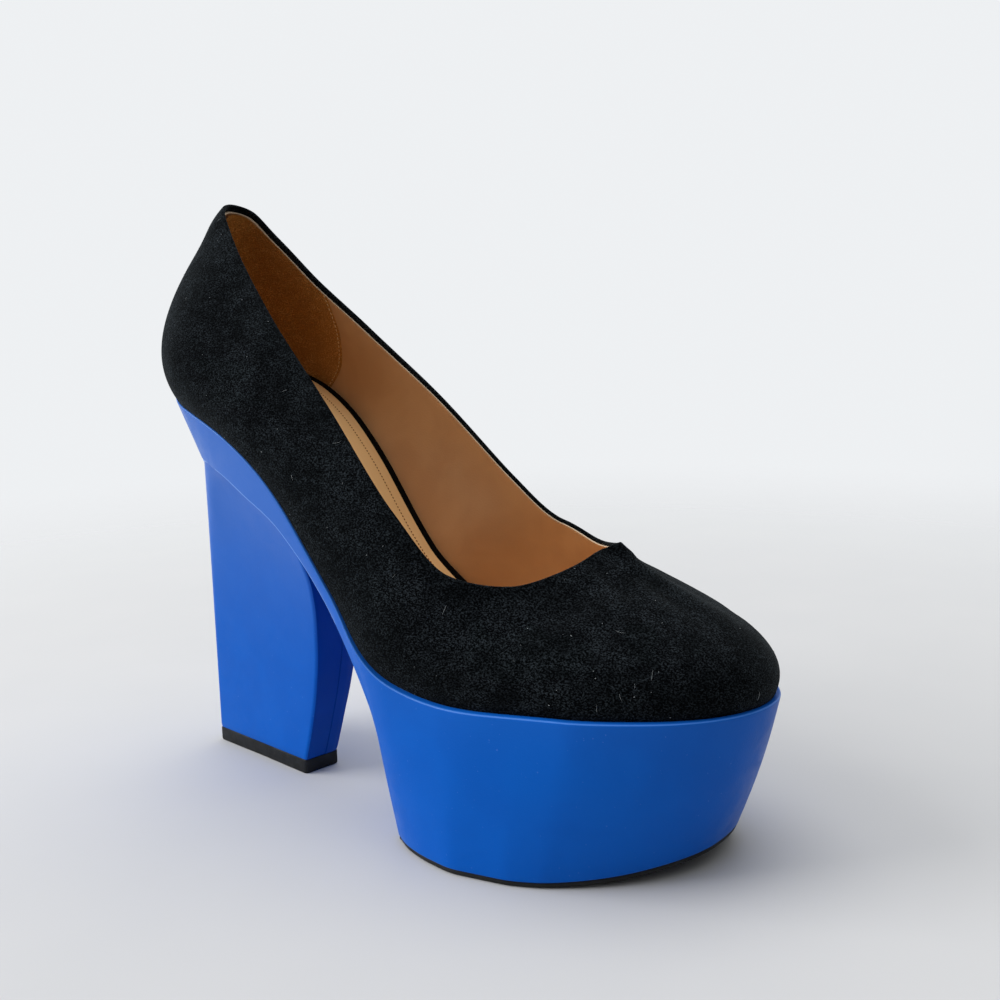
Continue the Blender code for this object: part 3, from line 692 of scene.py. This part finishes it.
# Paler blue for the platform's rounded top edge: a painted highlight.
BLUE_EDGE_HIGHLIGHT = smooth_leather("blue_leather_edge_highlight", (0.035, 0.2, 0.72), (0.02, 0.165, 0.64), 0.36, 0.03, 0.35)
LINING = smooth_leather("lining_leather", (0.640, 0.350, 0.155), (0.530, 0.265, 0.110), 0.46, 0.04, 0.50,
                        mottling=0.6)
SOCK = smooth_leather("sock_leather", (0.960, 0.610, 0.270), (0.900, 0.530, 0.215), 0.48, 0.04, 0.45)
CUT_EDGE = smooth_leather("cut_leather_edge", (0.94, 0.74, 0.53), (0.88, 0.66, 0.44), 0.75, 0.06, 0.2)
GRIP = suede("heel_grip_leather", (0.38, 0.165, 0.036), (0.70, 0.350, 0.105), (0.9, 0.7, 0.45))
THREAD_BROWN = plain_rubber("brown_thread", (0.300, 0.085, 0.018), 0.80)
THREAD_TAN = plain_rubber("tan_thread", (0.85, 0.58, 0.28), 0.70)
LIFT_BLACK = plain_rubber("heel_rubber", (0.004, 0.005, 0.006), 0.55)
SOLE_BLACK = plain_rubber("sole_rubber", (0.012, 0.012, 0.012), 0.60)
LINT = smooth_leather("lint", (0.42, 0.45, 0.46), (0.25, 0.27, 0.28), 0.8, 0.02, 0.2)


# The upper.

def edge_run(control):
    """Millimetres of wall per whole share near the topline."""
    return 3.0 * np.linalg.norm(control[3] - control[2])


def lining_top(t, control):
    """Share of the wall's height where the lining's cut edge lies."""
    return 1.0 - curve(LINING_DROP_ROWS, curve(WALL_ROWS, t, 1)) / edge_run(control)


def build_suede(count=205, rows=84, roll=12, inside=7):
    """Outer skin from the feather edge to the topline, rolled over it and down inside."""
    places = loop_places(count)
    columns = [wall_column(t, side) for t, side in places]
    steps = np.array([j / rows for j in range(rows + 1)])
    steps = 0.35 * steps + 0.65 * (0.5 - 0.5 * np.cos(math.pi * steps))
    grid = np.array([bezier(c, steps * (1.0 - EDGE_RADIUS / edge_run(c))) for c in columns])
    plain = grid_normals(grid)
    grid = grid + plain * soft_relief(grid)[..., None]
    normal = grid_normals(grid)
    top, top_normal = grid[:, -1], normal[:, -1]
    up = unit(grid[:, -1] - grid[:, -3])
    up = unit(up - top_normal * np.sum(up * top_normal, axis=1, keepdims=True))
    centre = top - top_normal * EDGE_RADIUS
    over = []
    for k in range(1, roll + 1):
        angle = math.pi * k / roll
        over.append(centre + EDGE_RADIUS * (math.cos(angle) * top_normal + math.sin(angle) * up))
    for k in range(1, inside + 1):
        over.append(over[roll - 1] - up * FOLD_DEPTH * k / inside)
    out = np.array([side_out(t, side) for t, side in places])
    tuck = grid[:, 0] - out * TUCK
    touch = grid[:, 0] + np.array((0.0, 0.0, 0.02))
    whole = np.concatenate([tuck[:, None], touch[:, None], grid[:, 1:], np.stack(over, axis=1)], axis=1)
    faces = sheet_faces(len(places), whole.shape[1], True)
    make_piece("upper_suede", whole.reshape(-1, 3), faces, [SUEDE], ["upper"])
    return grid, normal


def build_lining(count=150, rows=46):
    """Leather lining inside the suede, its cut edge showing below the fold."""
    places = loop_places(count, 0.85)
    columns = [wall_column(t, side) for t, side in places]
    steps = np.linspace(0.0, 1.0, rows + 1)
    grid = np.array([bezier(c, 0.01 + (lining_top(t, c) - 0.01) * steps)
                     for (t, _), c in zip(places, columns)])
    normal = grid_normals(grid)
    relief = 0.6 * soft_relief(grid)
    face = grid + normal * (relief - LINING_DEPTH)[..., None]
    lip = face[:, -1] + normal[:, -1] * LINING_THICKNESS
    round_low = face[:, -1] * 0.75 + lip * 0.25 + (face[:, -1] - face[:, -2]) * 0.05
    whole = np.concatenate([face, round_low[:, None], lip[:, None]], axis=1)
    faces = sheet_faces(len(places), whole.shape[1], True)
    per_column = whole.shape[1] - 1
    slots = [1 if k % per_column >= per_column - 2 else 0 for k in range(len(faces))]
    make_piece("upper_lining", whole.reshape(-1, 3), faces, [LINING, CUT_EDGE], (), slots)


def build_grip(columns=96, rows=60, proud=0.22):
    """Heel grip: a brown patch on the lining behind the foot, sewn along its curved front edges."""
    heights = np.linspace(0.04, 1.0, rows + 1)
    grid = []
    for k in range(columns + 1):
        w = -1.0 + 2.0 * k / columns
        side = -1 if w < 0 else 1
        column = []
        for v in heights:
            t = abs(w) ** 1.3 * curve(GRIP_ROWS, v)
            control = wall_column(t, side)
            column.append(bezier(control, [v * lining_top(t, control)])[0])
        grid.append(column)
    grid = np.array(grid)[::-1]
    normal = -grid_normals(grid, False)
    inward = np.sign(np.sum(normal * (grid - grid.mean(axis=0, keepdims=True)), axis=2).mean())
    normal = normal * inward
    edge = np.abs(np.linspace(-1.0, 1.0, columns + 1))
    depth = LINING_DEPTH + proud * np.clip((1.0 - edge) / 0.02, -0.4, 1.0)
    face = grid - normal * (depth[:, None, None])
    make_piece("heel_grip", face.reshape(-1, 3), sheet_faces(columns + 1, rows + 1, False), [GRIP])
    lines = [face[k] - normal[k] * 0.03 for k in (1, columns - 1)]
    sew("heel_grip_stitches", lines, 1.6, 0.5, 0.20, THREAD_TAN)


# The sock inside.

def rise_point(t, side, rise, steps=240):
    """Point of the upper's outer face at a height over the bottom, measured square to it."""
    control = wall_column(t, side)
    points = bezier(control, np.linspace(0.0, 0.5, steps))
    slope = math.radians(curve(BOTTOM_ROWS, t))
    gone = points - control[0]
    height = gone[:, 2] * math.cos(slope) - gone[:, 1] * math.sin(slope)
    return np.array([np.interp(rise, height, points[:, k]) for k in range(3)])


def sock_shares(count=170):
    return [INSOLE_START + (INSOLE_END - INSOLE_START) * (0.5 - 0.5 * math.cos(math.pi * k / count))
            for k in range(count + 1)]


def drawn_in(point, t, side, inward, least):
    """A point moved inward in plan, but never nearer to the middle line than the least distance."""
    point = point - side_out(t, side) * inward
    middle = curve(SWING_ROWS, t)
    point[0] = side * max(side * (point[0] - middle), least) + middle
    return point


def sock_face(height, t, xi):
    """Height of the sock's hollow face at a place across, from its edge's height."""
    dish = HEEL_DISH * max(0.0, 1.0 - t / HEEL_DISH_END) + SOCK_HOLLOW
    return height - SOCK_DROP - dish * (1.0 - xi * xi)


def sock_edges():
    """Edge of the sock in plan for every share and side, and the sock's height along the shoe."""
    edges = {}
    line = []
    for t in sock_shares():
        rise = curve(INSOLE_ROWS, t) + curve(SOCK_PAD_ROWS, t)
        for side in (-1, 1):
            edges[t, side] = drawn_in(rise_point(t, side, rise), t, side, LINING_DEPTH + SOCK_CLEAR, 0.4)
        outer, inner = edges[t, -1], edges[t, 1]
        line.append(((outer[1] + inner[1]) / 2.0, (outer[2] + inner[2]) / 2.0))
    return edges, np.array(sorted(line, reverse=True))


def build_sock(across=36):
    """Tan sock with a soft dish under the heel, its black rim, and its stitch line."""
    edges, line = sock_edges()

    def height(y):
        return float(np.interp(-y, -line[:, 0], line[:, 1]))

    shares = sock_shares()
    grid = []
    for t in shares:
        ends = [drawn_in(edges[t, side], t, side, RIM_WIDTH - RIM_OVERLAP, 0.1) for side in (-1, 1)]
        row = []
        for k in range(across + 1):
            xi = -1.0 + 2.0 * k / across
            point = ends[0] + (ends[1] - ends[0]) * (xi + 1.0) / 2.0
            point[2] = sock_face(height(point[1]), t, xi)
            row.append(point)
        grid.append(row)
    grid = np.array(grid)
    make_piece("sock", grid.reshape(-1, 3), sheet_faces(len(shares), across + 1, False), [SOCK],
               ["insole"])

    loop = [(t, -1) for t in shares] + [(t, 1) for t in reversed(shares)]
    profile = ((RIM_WIDTH, -0.40), (RIM_WIDTH - 0.2, 0.05), (RIM_WIDTH - 0.6, 0.30), (RIM_WIDTH * 0.55, 0.42),
               (RIM_WIDTH * 0.30, 0.38), (0.30, 0.15), (0.05, -0.20), (0.0, -0.7), (0.0, -1.6), (0.1, -2.6))
    ring = []
    for t, side in loop:
        column = []
        for inward, rise in profile:
            point = drawn_in(edges[t, side], t, side, inward, 0.05)
            point[2] = height(point[1]) + rise
            column.append(point)
        ring.append(column)
    ring = np.array(ring)
    make_piece("sock_rim", ring.reshape(-1, 3), sheet_faces(len(loop), len(profile), True), [RIM_BLACK])

    seams = []
    for side in (-1, 1):
        seam = []
        for t in (t for t in shares if 0.05 <= t <= 0.93):
            point = edges[t, side] - side_out(t, side) * STITCH_INSET
            half = abs(edges[t, side][0] - curve(SWING_ROWS, t))
            xi = 1.0 - STITCH_INSET / max(half, STITCH_INSET)
            point[2] = sock_face(height(point[1]), t, xi) + 0.04
            seam.append(point)
        seams.append(seam)
    sew("sock_stitches", seams, STITCH_PITCH, 0.34, 0.30, THREAD_BROWN)


# Platform, band and shank.

def spring(s):
    """Lift of the sole at a share of its length."""
    rise = max(0.0, (s - SPRING_START) / (1.0 - SPRING_START))
    return TOE_SPRING * rise * rise


def underside(t):
    """Row of the platform's underside: y, z of its middle, outer and inner x, bow of the row in plan."""
    y, z = bottom_point(t)
    slope = math.radians(curve(BOTTOM_ROWS, t))
    swing = curve(SWING_ROWS, t)
    if t <= SHANK_END:
        thick = curve(BAND_ROWS, t, 1)
        inset = curve(BAND_ROWS, t, 3)
        ledge = curve(LEDGE_ROWS, t)
        outer = max(half_width(t, -1) + ledge - inset, 0.0)
        inner = max(half_width(t, 1) + ledge - inset, 0.0)
        y_now = y + math.sin(slope) * thick - curve(BAND_ROWS, t, 2)
        return (y_now, z - math.cos(slope) * thick, swing - outer, swing + inner, 0.0)
    if t < REAR_FACE_END:
        u = (t - SHANK_END) / (REAR_FACE_END - SHANK_END)
        top = underside(SHANK_END)
        foot = (PLATFORM_REAR_Y - REAR_BOW, OUTSOLE + GAP)
        bow = REAR_BOW * math.sin(u * math.pi / 2.0)
        y_now = foot[0] + (top[0] - foot[0]) * (1.0 - u) ** REAR_FACE_BEND + bow
        z_now = top[1] + (foot[1] - top[1]) * u
        x_outer = top[2] + (SOLE_ROWS[0][2] - SOLE_ROWS[0][1] - top[2]) * u
        x_inner = top[3] + (SOLE_ROWS[0][2] + SOLE_ROWS[0][1] - top[3]) * u
        return (y_now, z_now, x_outer, x_inner, bow)
    s = (t - REAR_FACE_END) / (1.0 - REAR_FACE_END)
    y_now = PLATFORM_REAR_Y + (PLATFORM_TOE_Y - PLATFORM_REAR_Y) * s
    bow = REAR_BOW * max(0.0, 1.0 - s / BOW_END)
    half = round_curve(SOLE_ROWS, s, 1)
    middle = curve(SOLE_ROWS, s, 2)
    return (y_now, OUTSOLE + GAP + spring(s), middle - half, middle + half, bow)


def bowed(y, bow, xi):
    """Rounding of a row in plan: its ends fall forward."""
    return y - bow * (1.0 - math.sqrt(max(0.0, 1.0 - min(abs(xi), 1.0) ** BOW_SQUARENESS)))


def fore_shares(count):
    """Shares of the bottom length along the sole, close at the toe."""
    return [REAR_FACE_END + (1.0 - REAR_FACE_END) * math.sin(k / count * math.pi / 2.0) ** 1.15
            for k in range(count + 1)]


def platform_shares(rear=96, face=26, fore=110):
    """Shares of the bottom length for the platform's sections, close at both ends."""
    out = [SHANK_END * (k / rear) ** 1.7 for k in range(rear)]
    out += [SHANK_END + (REAR_FACE_END - SHANK_END) * k / face for k in range(face)]
    return out + fore_shares(fore)


def across_shares(count):
    """Places from -1 to 1 across the platform, close together at its two corners."""
    return [math.sin((-1.0 + 2.0 * k / count) * math.pi / 2.0) for k in range(count + 1)]


def fillet(before, corner, after, radius):
    """Points that round a corner between its two neighbours."""
    start, end = (corner + run * min(radius / max(np.linalg.norm(run), TINY), 0.45)
                  for run in (before - corner, after - corner))
    steps = [k / ROUND_STEPS for k in range(ROUND_STEPS + 1)]
    return [(1 - u) ** 2 * start + 2 * (1 - u) * u * corner + u * u * end for u in steps]


def build_platform(wall_rows=26, across=28):
    """Leather-covered platform, its shank and the band under the heel seat, in one skin."""
    shares = platform_shares()
    places = [(t, -1) for t in shares] + [(t, 1) for t in reversed(shares[1:-1])]
    strip = []
    for t, side in places:
        top = offset_outline(t, side, curve(LEDGE_ROWS, t))
        y, z, outer_x, inner_x, bow = underside(t)
        low = np.array((outer_x if side < 0 else inner_x, bowed(y, bow, side), z))
        deep = underside(min(max(t, 0.03), 0.97))
        middle = np.array(((deep[2] + deep[3]) / 2.0, deep[0], deep[1]))
        inner = offset_outline(t, side, -2.0)
        top_round = fillet(inner, top, low, TOP_ROUND)
        low_round = fillet(top, low, middle, LOW_ROUND)
        wall = [top_round[-1] + (low_round[0] - top_round[-1]) * k / wall_rows for k in range(1, wall_rows)]
        swell = curve(((0.0, 0.0), (0.5, 0.15), (0.62, 0.7), (0.9, 0.9), (1.0, 0.9)), t)
        out = side_out(t, side)
        wall = [p + out * swell * math.sin(math.pi * (k + 1) / wall_rows) for k, p in enumerate(wall)]
        strip.append([inner] + top_round + wall + low_round)
    strip = np.array(strip)
    rows = strip.shape[1]
    verts = list(strip.reshape(-1, 3))
    faces = sheet_faces(len(places), rows, True)
    faces = [tuple(reversed(face)) for face in faces]
    walls = len(faces)
    count = len(shares)
    for edge in (rows - 1, 0):
        start = len(verts)
        for k, t in enumerate(shares):
            a = strip[k, edge]
            b = strip[(len(places) - k) % len(places), edge] if 0 < k < count - 1 else a
            bow = underside(t)[4] if edge else 0.0
            for xi in across_shares(across):
                point = a + (b - a) * (xi + 1.0) / 2.0
                point[1] += bowed(0.0, bow, xi) - bowed(0.0, bow, 1.0)
                verts.append(point)
        faces += sheet_faces(count, across + 1, False, start)
    # Slot 1 is a painted highlight along the rounded top edge, slot 2 a painted highlight where the band's
    # lower edge catches the light.
    slots = []
    for k in range(len(faces)):
        column, row = divmod(k, rows - 1)
        on_band = SEAM_START < places[min(column, len(places) - 1)][0] < SHANK_END
        if k < walls and on_band and row - rows in SEAM_ROWS:
            slots.append(2)
        else:
            slots.append(1 if k < walls and row in EDGE_HIGHLIGHT_ROWS else 0)
    make_piece("platform_cover", verts, faces, [BLUE, BLUE_EDGE_HIGHLIGHT, SEAM_HIGHLIGHT],
               ["platform"], slots, 0.004, 50.0)


# The heel.

def band_line():
    """y and z of the band's underside, rear to front."""
    return np.array([underside(SHANK_END * k / 240.0)[:2] for k in range(241)])


BAND_LINE = band_line()


def band_under_height(y):
    """Height of the band's underside at a place along the shoe."""
    return float(np.interp(-y, -BAND_LINE[:, 0], BAND_LINE[:, 1]))


def breast_shares():
    """Stations across the heel's breast, close together at the lap of its cover."""
    near = [BREAST_SEAM + k * 0.006 for k in range(-4, 5)]
    rest = [k / 22.0 for k in range(1, 22) if abs(k / 22.0 - BREAST_SEAM) > 0.03]
    return tuple(sorted(near + rest))


def lap_height(u):
    """Height of the cover's lap at a share of the breast's width, with the groove beside it."""
    step = SEAM_STEP * (1.0 / (1.0 + math.exp(-(u - BREAST_SEAM) / 0.003)))
    groove = SEAM_GROOVE * math.exp(-((u - BREAST_SEAM + 0.004) / 0.005) ** 2)
    return (step - groove) * min(1.0, (1.0 - u) / 0.12)


def build_heel(rows=80, per_corner=8):
    """Leather-covered heel, its lip against the band and the lapped seam down its breast; painted shade on
    the breast, a painted highlight on the lip.
    """
    breast = breast_shares()
    side_shares = (PLAIN_SHARES[0], breast, PLAIN_SHARES[2], PLAIN_SHARES[3])
    first = 2 * (per_corner + 1) + len(side_shares[0])
    laps = {first + k: lap_height(u) for k, u in enumerate(breast)}
    low = LIFT + 0.05
    grid = []
    for j in range(rows + len(LIP_DROPS)):
        fine = LIP_DROPS[j - rows] if j >= rows else None
        share = j / rows * (1.0 - LIP_DROPS[0] / HEEL_LENGTH) if fine is None else 1.0 - fine / HEEL_LENGTH
        plan = heel_plan(curve(HEEL_ROWS, share, 1), curve(HEEL_ROWS, share, 2), side_shares, per_corner)
        out = plan_normals(plan)
        ring = []
        for k, (x, y) in enumerate(plan):
            top = band_under_height(y) + 0.04
            drop = fine if fine is not None else top - low - (top - low - LIP_DROPS[0]) * j / rows
            lip = HEEL_LIP * math.exp(-((drop - 0.5) / 0.45) ** 2) - 0.35 * math.exp(-(drop / 0.25) ** 2)
            push = lip + laps.get(k, 0.0) - (0.25 if j == 0 else 0.0)
            ring.append((x + out[k][0] * push, y + out[k][1] * push, top - drop))
        grid.append(ring)
    grid = np.array(grid).transpose(1, 0, 2)
    verts = list(grid.reshape(-1, 3))
    count, height = grid.shape[:2]
    faces = sheet_faces(count, height, True)
    slots = []
    for k in range(len(faces)):
        column, row = divmod(k, height - 1)
        # The breast and a few faces round each corner take the darker blue, which is painted shade.
        in_breast_shade = -BREAST_SHADE_WRAP <= column - first < len(breast) + BREAST_SHADE_WRAP
        # Slot 1, the bead's faces, is a painted highlight.
        slots.append(1 if height - row in LIP_ROWS else (2 if in_breast_shade else 0))
    faces.append(tuple(k * height for k in range(count)))
    make_piece("heel_cover", verts, faces, [BLUE, SEAM_HIGHLIGHT, BLUE_BREAST_SHADE], ["heel_block"],
               slots + [0], sharp=50.0)


def ring_stack(name, rings, material, stands_for):
    """Closed piece from plan rings of equal count, capped at both ends."""
    rings = np.array(rings)
    count = rings.shape[1]
    verts = list(rings.transpose(1, 0, 2).reshape(-1, 3))
    height = rings.shape[0]
    faces = sheet_faces(count, height, True)
    faces.append(tuple(k * height for k in range(count)))
    faces.append(tuple(k * height + height - 1 for k in reversed(range(count))))
    make_piece(name, verts, faces, [material], stands_for, sharp=40.0)


def build_lift(per_corner=6):
    """Wearing block under the heel, its lower edges worn round."""
    plan = heel_plan(0.0, 0.0, PLAIN_SHARES, per_corner)
    middle = plan.mean(axis=0)
    reach = np.linalg.norm(plan - middle, axis=1, keepdims=True)
    rings = []
    for margin, z in ((0.9, 0.0), (0.35, 0.12), (0.08, 0.5), (0.0, 1.0), (0.0, LIFT - 0.5),
                      (0.05, LIFT - 0.15), (0.3, LIFT)):
        rings.append([(x, y, z) for x, y in middle + (plan - middle) * (1.0 - margin / reach)])
    ring_stack("heel_wearing_block", rings, LIFT_BLACK, ["heel_top_lift"])


def build_outsole(count=120):
    """Thin wearing sole with a rounded rim, following the platform's lower edge."""
    shares = fore_shares(count)
    outline = []
    back = underside(REAR_FACE_END)
    for xi in across_shares(60)[-2:0:-1]:
        x = (back[2] + back[3]) / 2.0 + (back[3] - back[2]) / 2.0 * xi
        outline.append((x, bowed(back[0], back[4], xi), back[1]))
    for t, side in [(t, -1) for t in shares] + [(t, 1) for t in reversed(shares[:-1])]:
        y, z, outer_x, inner_x, bow = underside(t)
        outline.append((outer_x if side < 0 else inner_x, bowed(y, bow, side), z))
    outline = np.array(outline)
    out = plan_normals(outline)
    rings = []
    deep = OUTSOLE + GAP
    for inset, drop in ((1.4, deep), (0.85, deep - 0.08), (0.6, deep - 0.4), (0.55, deep * 0.55), (0.6, 0.3),
                        (0.8, 0.05), (2.0, 0.02)):
        ring = outline - out * inset
        ring[:, 2] = np.maximum(outline[:, 2] - drop, 0.0)
        rings.append(ring)
    ring_stack("wearing_sole", rings, SOLE_BLACK, ["outsole"])


# Lint and loose fibres on the suede.

def build_lint(grid, normal, count=120, seed=11):
    """White specks and short curled fibres caught in the nap."""
    chance = np.random.RandomState(seed)
    paths, thick = [], []
    columns, rows = grid.shape[:2]
    while len(paths) < count:
        i, j = chance.randint(0, columns), chance.randint(3, rows - 3)
        across = grid[(i + 1) % columns, j] - grid[i, j]
        if np.linalg.norm(across) < chance.uniform(0.0, 1.2):
            continue
        n = normal[i, j]
        a = unit(np.cross(n, chance.normal(size=3)))
        b = np.cross(n, a)
        long_one = chance.uniform() < 0.25
        length = chance.uniform(1.2, 3.2) if long_one else chance.uniform(0.15, 0.5)
        bend = chance.uniform(-0.5, 0.5)
        path = []
        for u in np.linspace(-0.5, 0.5, 6):
            lift = n * (0.10 + 0.25 * (0.25 - u * u))
            path.append(grid[i, j] + lift + a * u * length + b * bend * length * u * u)
        paths.append(path)
        thick.append(chance.uniform(0.022, 0.035) if long_one else chance.uniform(0.04, 0.09))
    verts, faces = tubes(paths, thick, 4)
    make_piece("lint", verts, faces, [LINT])


# Stage, light and view.

def build_stage():
    """Plain pale floor that fades into the pale room, so that no horizon shows."""
    material = Paint("floor_paper", Roughness=0.9, Specular_IOR_Level=0.1)
    clouds = material.noise(60.0)
    material.feed("Base Color", material.mix(clouds, (0.635, 0.635, 0.64), (0.60, 0.605, 0.615)))
    reach = material.node("ShaderNodeVectorMath", {0: material.place}, operation='LENGTH')
    material.feed("Alpha", material.spread(reach.outputs["Value"], 0.12, 0.85, 1.0, 0.0))
    mesh = bpy.data.meshes.new("floor")
    corners = [(x * FLOOR_HALF, y * FLOOR_HALF, 0) for x, y in ((-1, -1), (1, -1), (1, 1), (-1, 1))]
    mesh.from_pydata(corners, [], [(0, 1, 2, 3)])
    mesh.materials.append(material.material)
    floor = bpy.data.objects.new("floor", mesh)
    bpy.context.scene.collection.objects.link(floor)


def add_light(name, place, target, size, power, colour):
    """Soft square light that faces a target; places are metres."""
    data = bpy.data.lights.new(name, 'AREA')
    data.shape = 'SQUARE'
    data.size = size
    data.energy = power
    data.color = colour
    light = bpy.data.objects.new(name, data)
    light.location = place
    light.rotation_mode = 'QUATERNION'
    light.rotation_quaternion = (Vector(target) - Vector(place)).to_track_quat('-Z', 'Y')
    bpy.context.scene.collection.objects.link(light)


def build_light():
    """Daylight from the left and behind, a pale room, a darker side where the viewer stands."""
    world = bpy.data.worlds.new("room")
    bpy.context.scene.world = world
    world.use_nodes = True
    tree = world.node_tree
    background = tree.nodes["Background"]
    bright = Vector((0.30, 0.90, 0.30)).normalized()
    place = add_node(tree, "ShaderNodeTexCoord").outputs["Generated"]
    dot = add_node(tree, "ShaderNodeVectorMath", {0: place, 1: bright}, operation='DOT_PRODUCT')
    inputs = {"Value": dot.outputs["Value"], "From Min": -0.75, "From Max": 0.45,
              "To Min": 0.05, "To Max": 0.92}
    ramp = add_node(tree, "ShaderNodeMapRange", inputs, interpolation_type='SMOOTHSTEP')
    tree.links.new(ramp.outputs["Result"], background.inputs["Strength"])
    background.inputs["Color"].default_value = (0.93, 0.95, 0.97, 1.0)
    add_light("window", (-1.35, 2.0, 1.55), (0.0, 0.0, 0.08), 1.7, 46.0, (1.0, 0.99, 0.97))
    add_light("ceiling", (0.15, 0.1, 1.7), (0.0, 0.0, 0.0), 1.5, 10.5, (1.0, 0.99, 0.98))
    bpy.context.scene.view_settings.view_transform = 'Standard'
    bpy.context.scene.view_settings.look = 'None'


def build_camera():
    """The photograph's view."""
    azimuth, elevation = math.radians(CAMERA_AZIMUTH), math.radians(CAMERA_ELEVATION)
    roll = math.radians(CAMERA_ROLL)
    back = Vector((math.sin(azimuth) * math.cos(elevation), -math.cos(azimuth) * math.cos(elevation),
                   math.sin(elevation)))
    right = Vector((0.0, 0.0, 1.0)).cross(back).normalized()
    up = back.cross(right)
    turned_right = right * math.cos(roll) + up * math.sin(roll)
    turned_up = up * math.cos(roll) - right * math.sin(roll)
    target = Vector((np.array(LOOK_AT) + SHIFT) * MM)
    data = bpy.data.cameras.new("camera")
    data.sensor_width = SENSOR
    data.lens = FOCAL_PIXELS * SENSOR / IMAGE_PIXELS
    data.shift_y = (OPTICAL_CENTRE_Y - IMAGE_PIXELS / 2.0) / IMAGE_PIXELS
    data.clip_start = 0.01
    camera = bpy.data.objects.new("camera", data)
    turn = Matrix((turned_right, turned_up, back)).transposed().to_4x4()
    camera.matrix_world = Matrix.Translation(target + back * CAMERA_DISTANCE * MM) @ turn
    bpy.context.scene.collection.objects.link(camera)
    bpy.context.scene.camera = camera


skin, skin_normal = build_suede()
build_lining()
build_grip()
build_sock()
build_platform()
build_heel()
build_lift()
build_outsole()
build_lint(skin, skin_normal)
build_stage()
build_light()
build_camera()

bpy.context.view_layer.update()
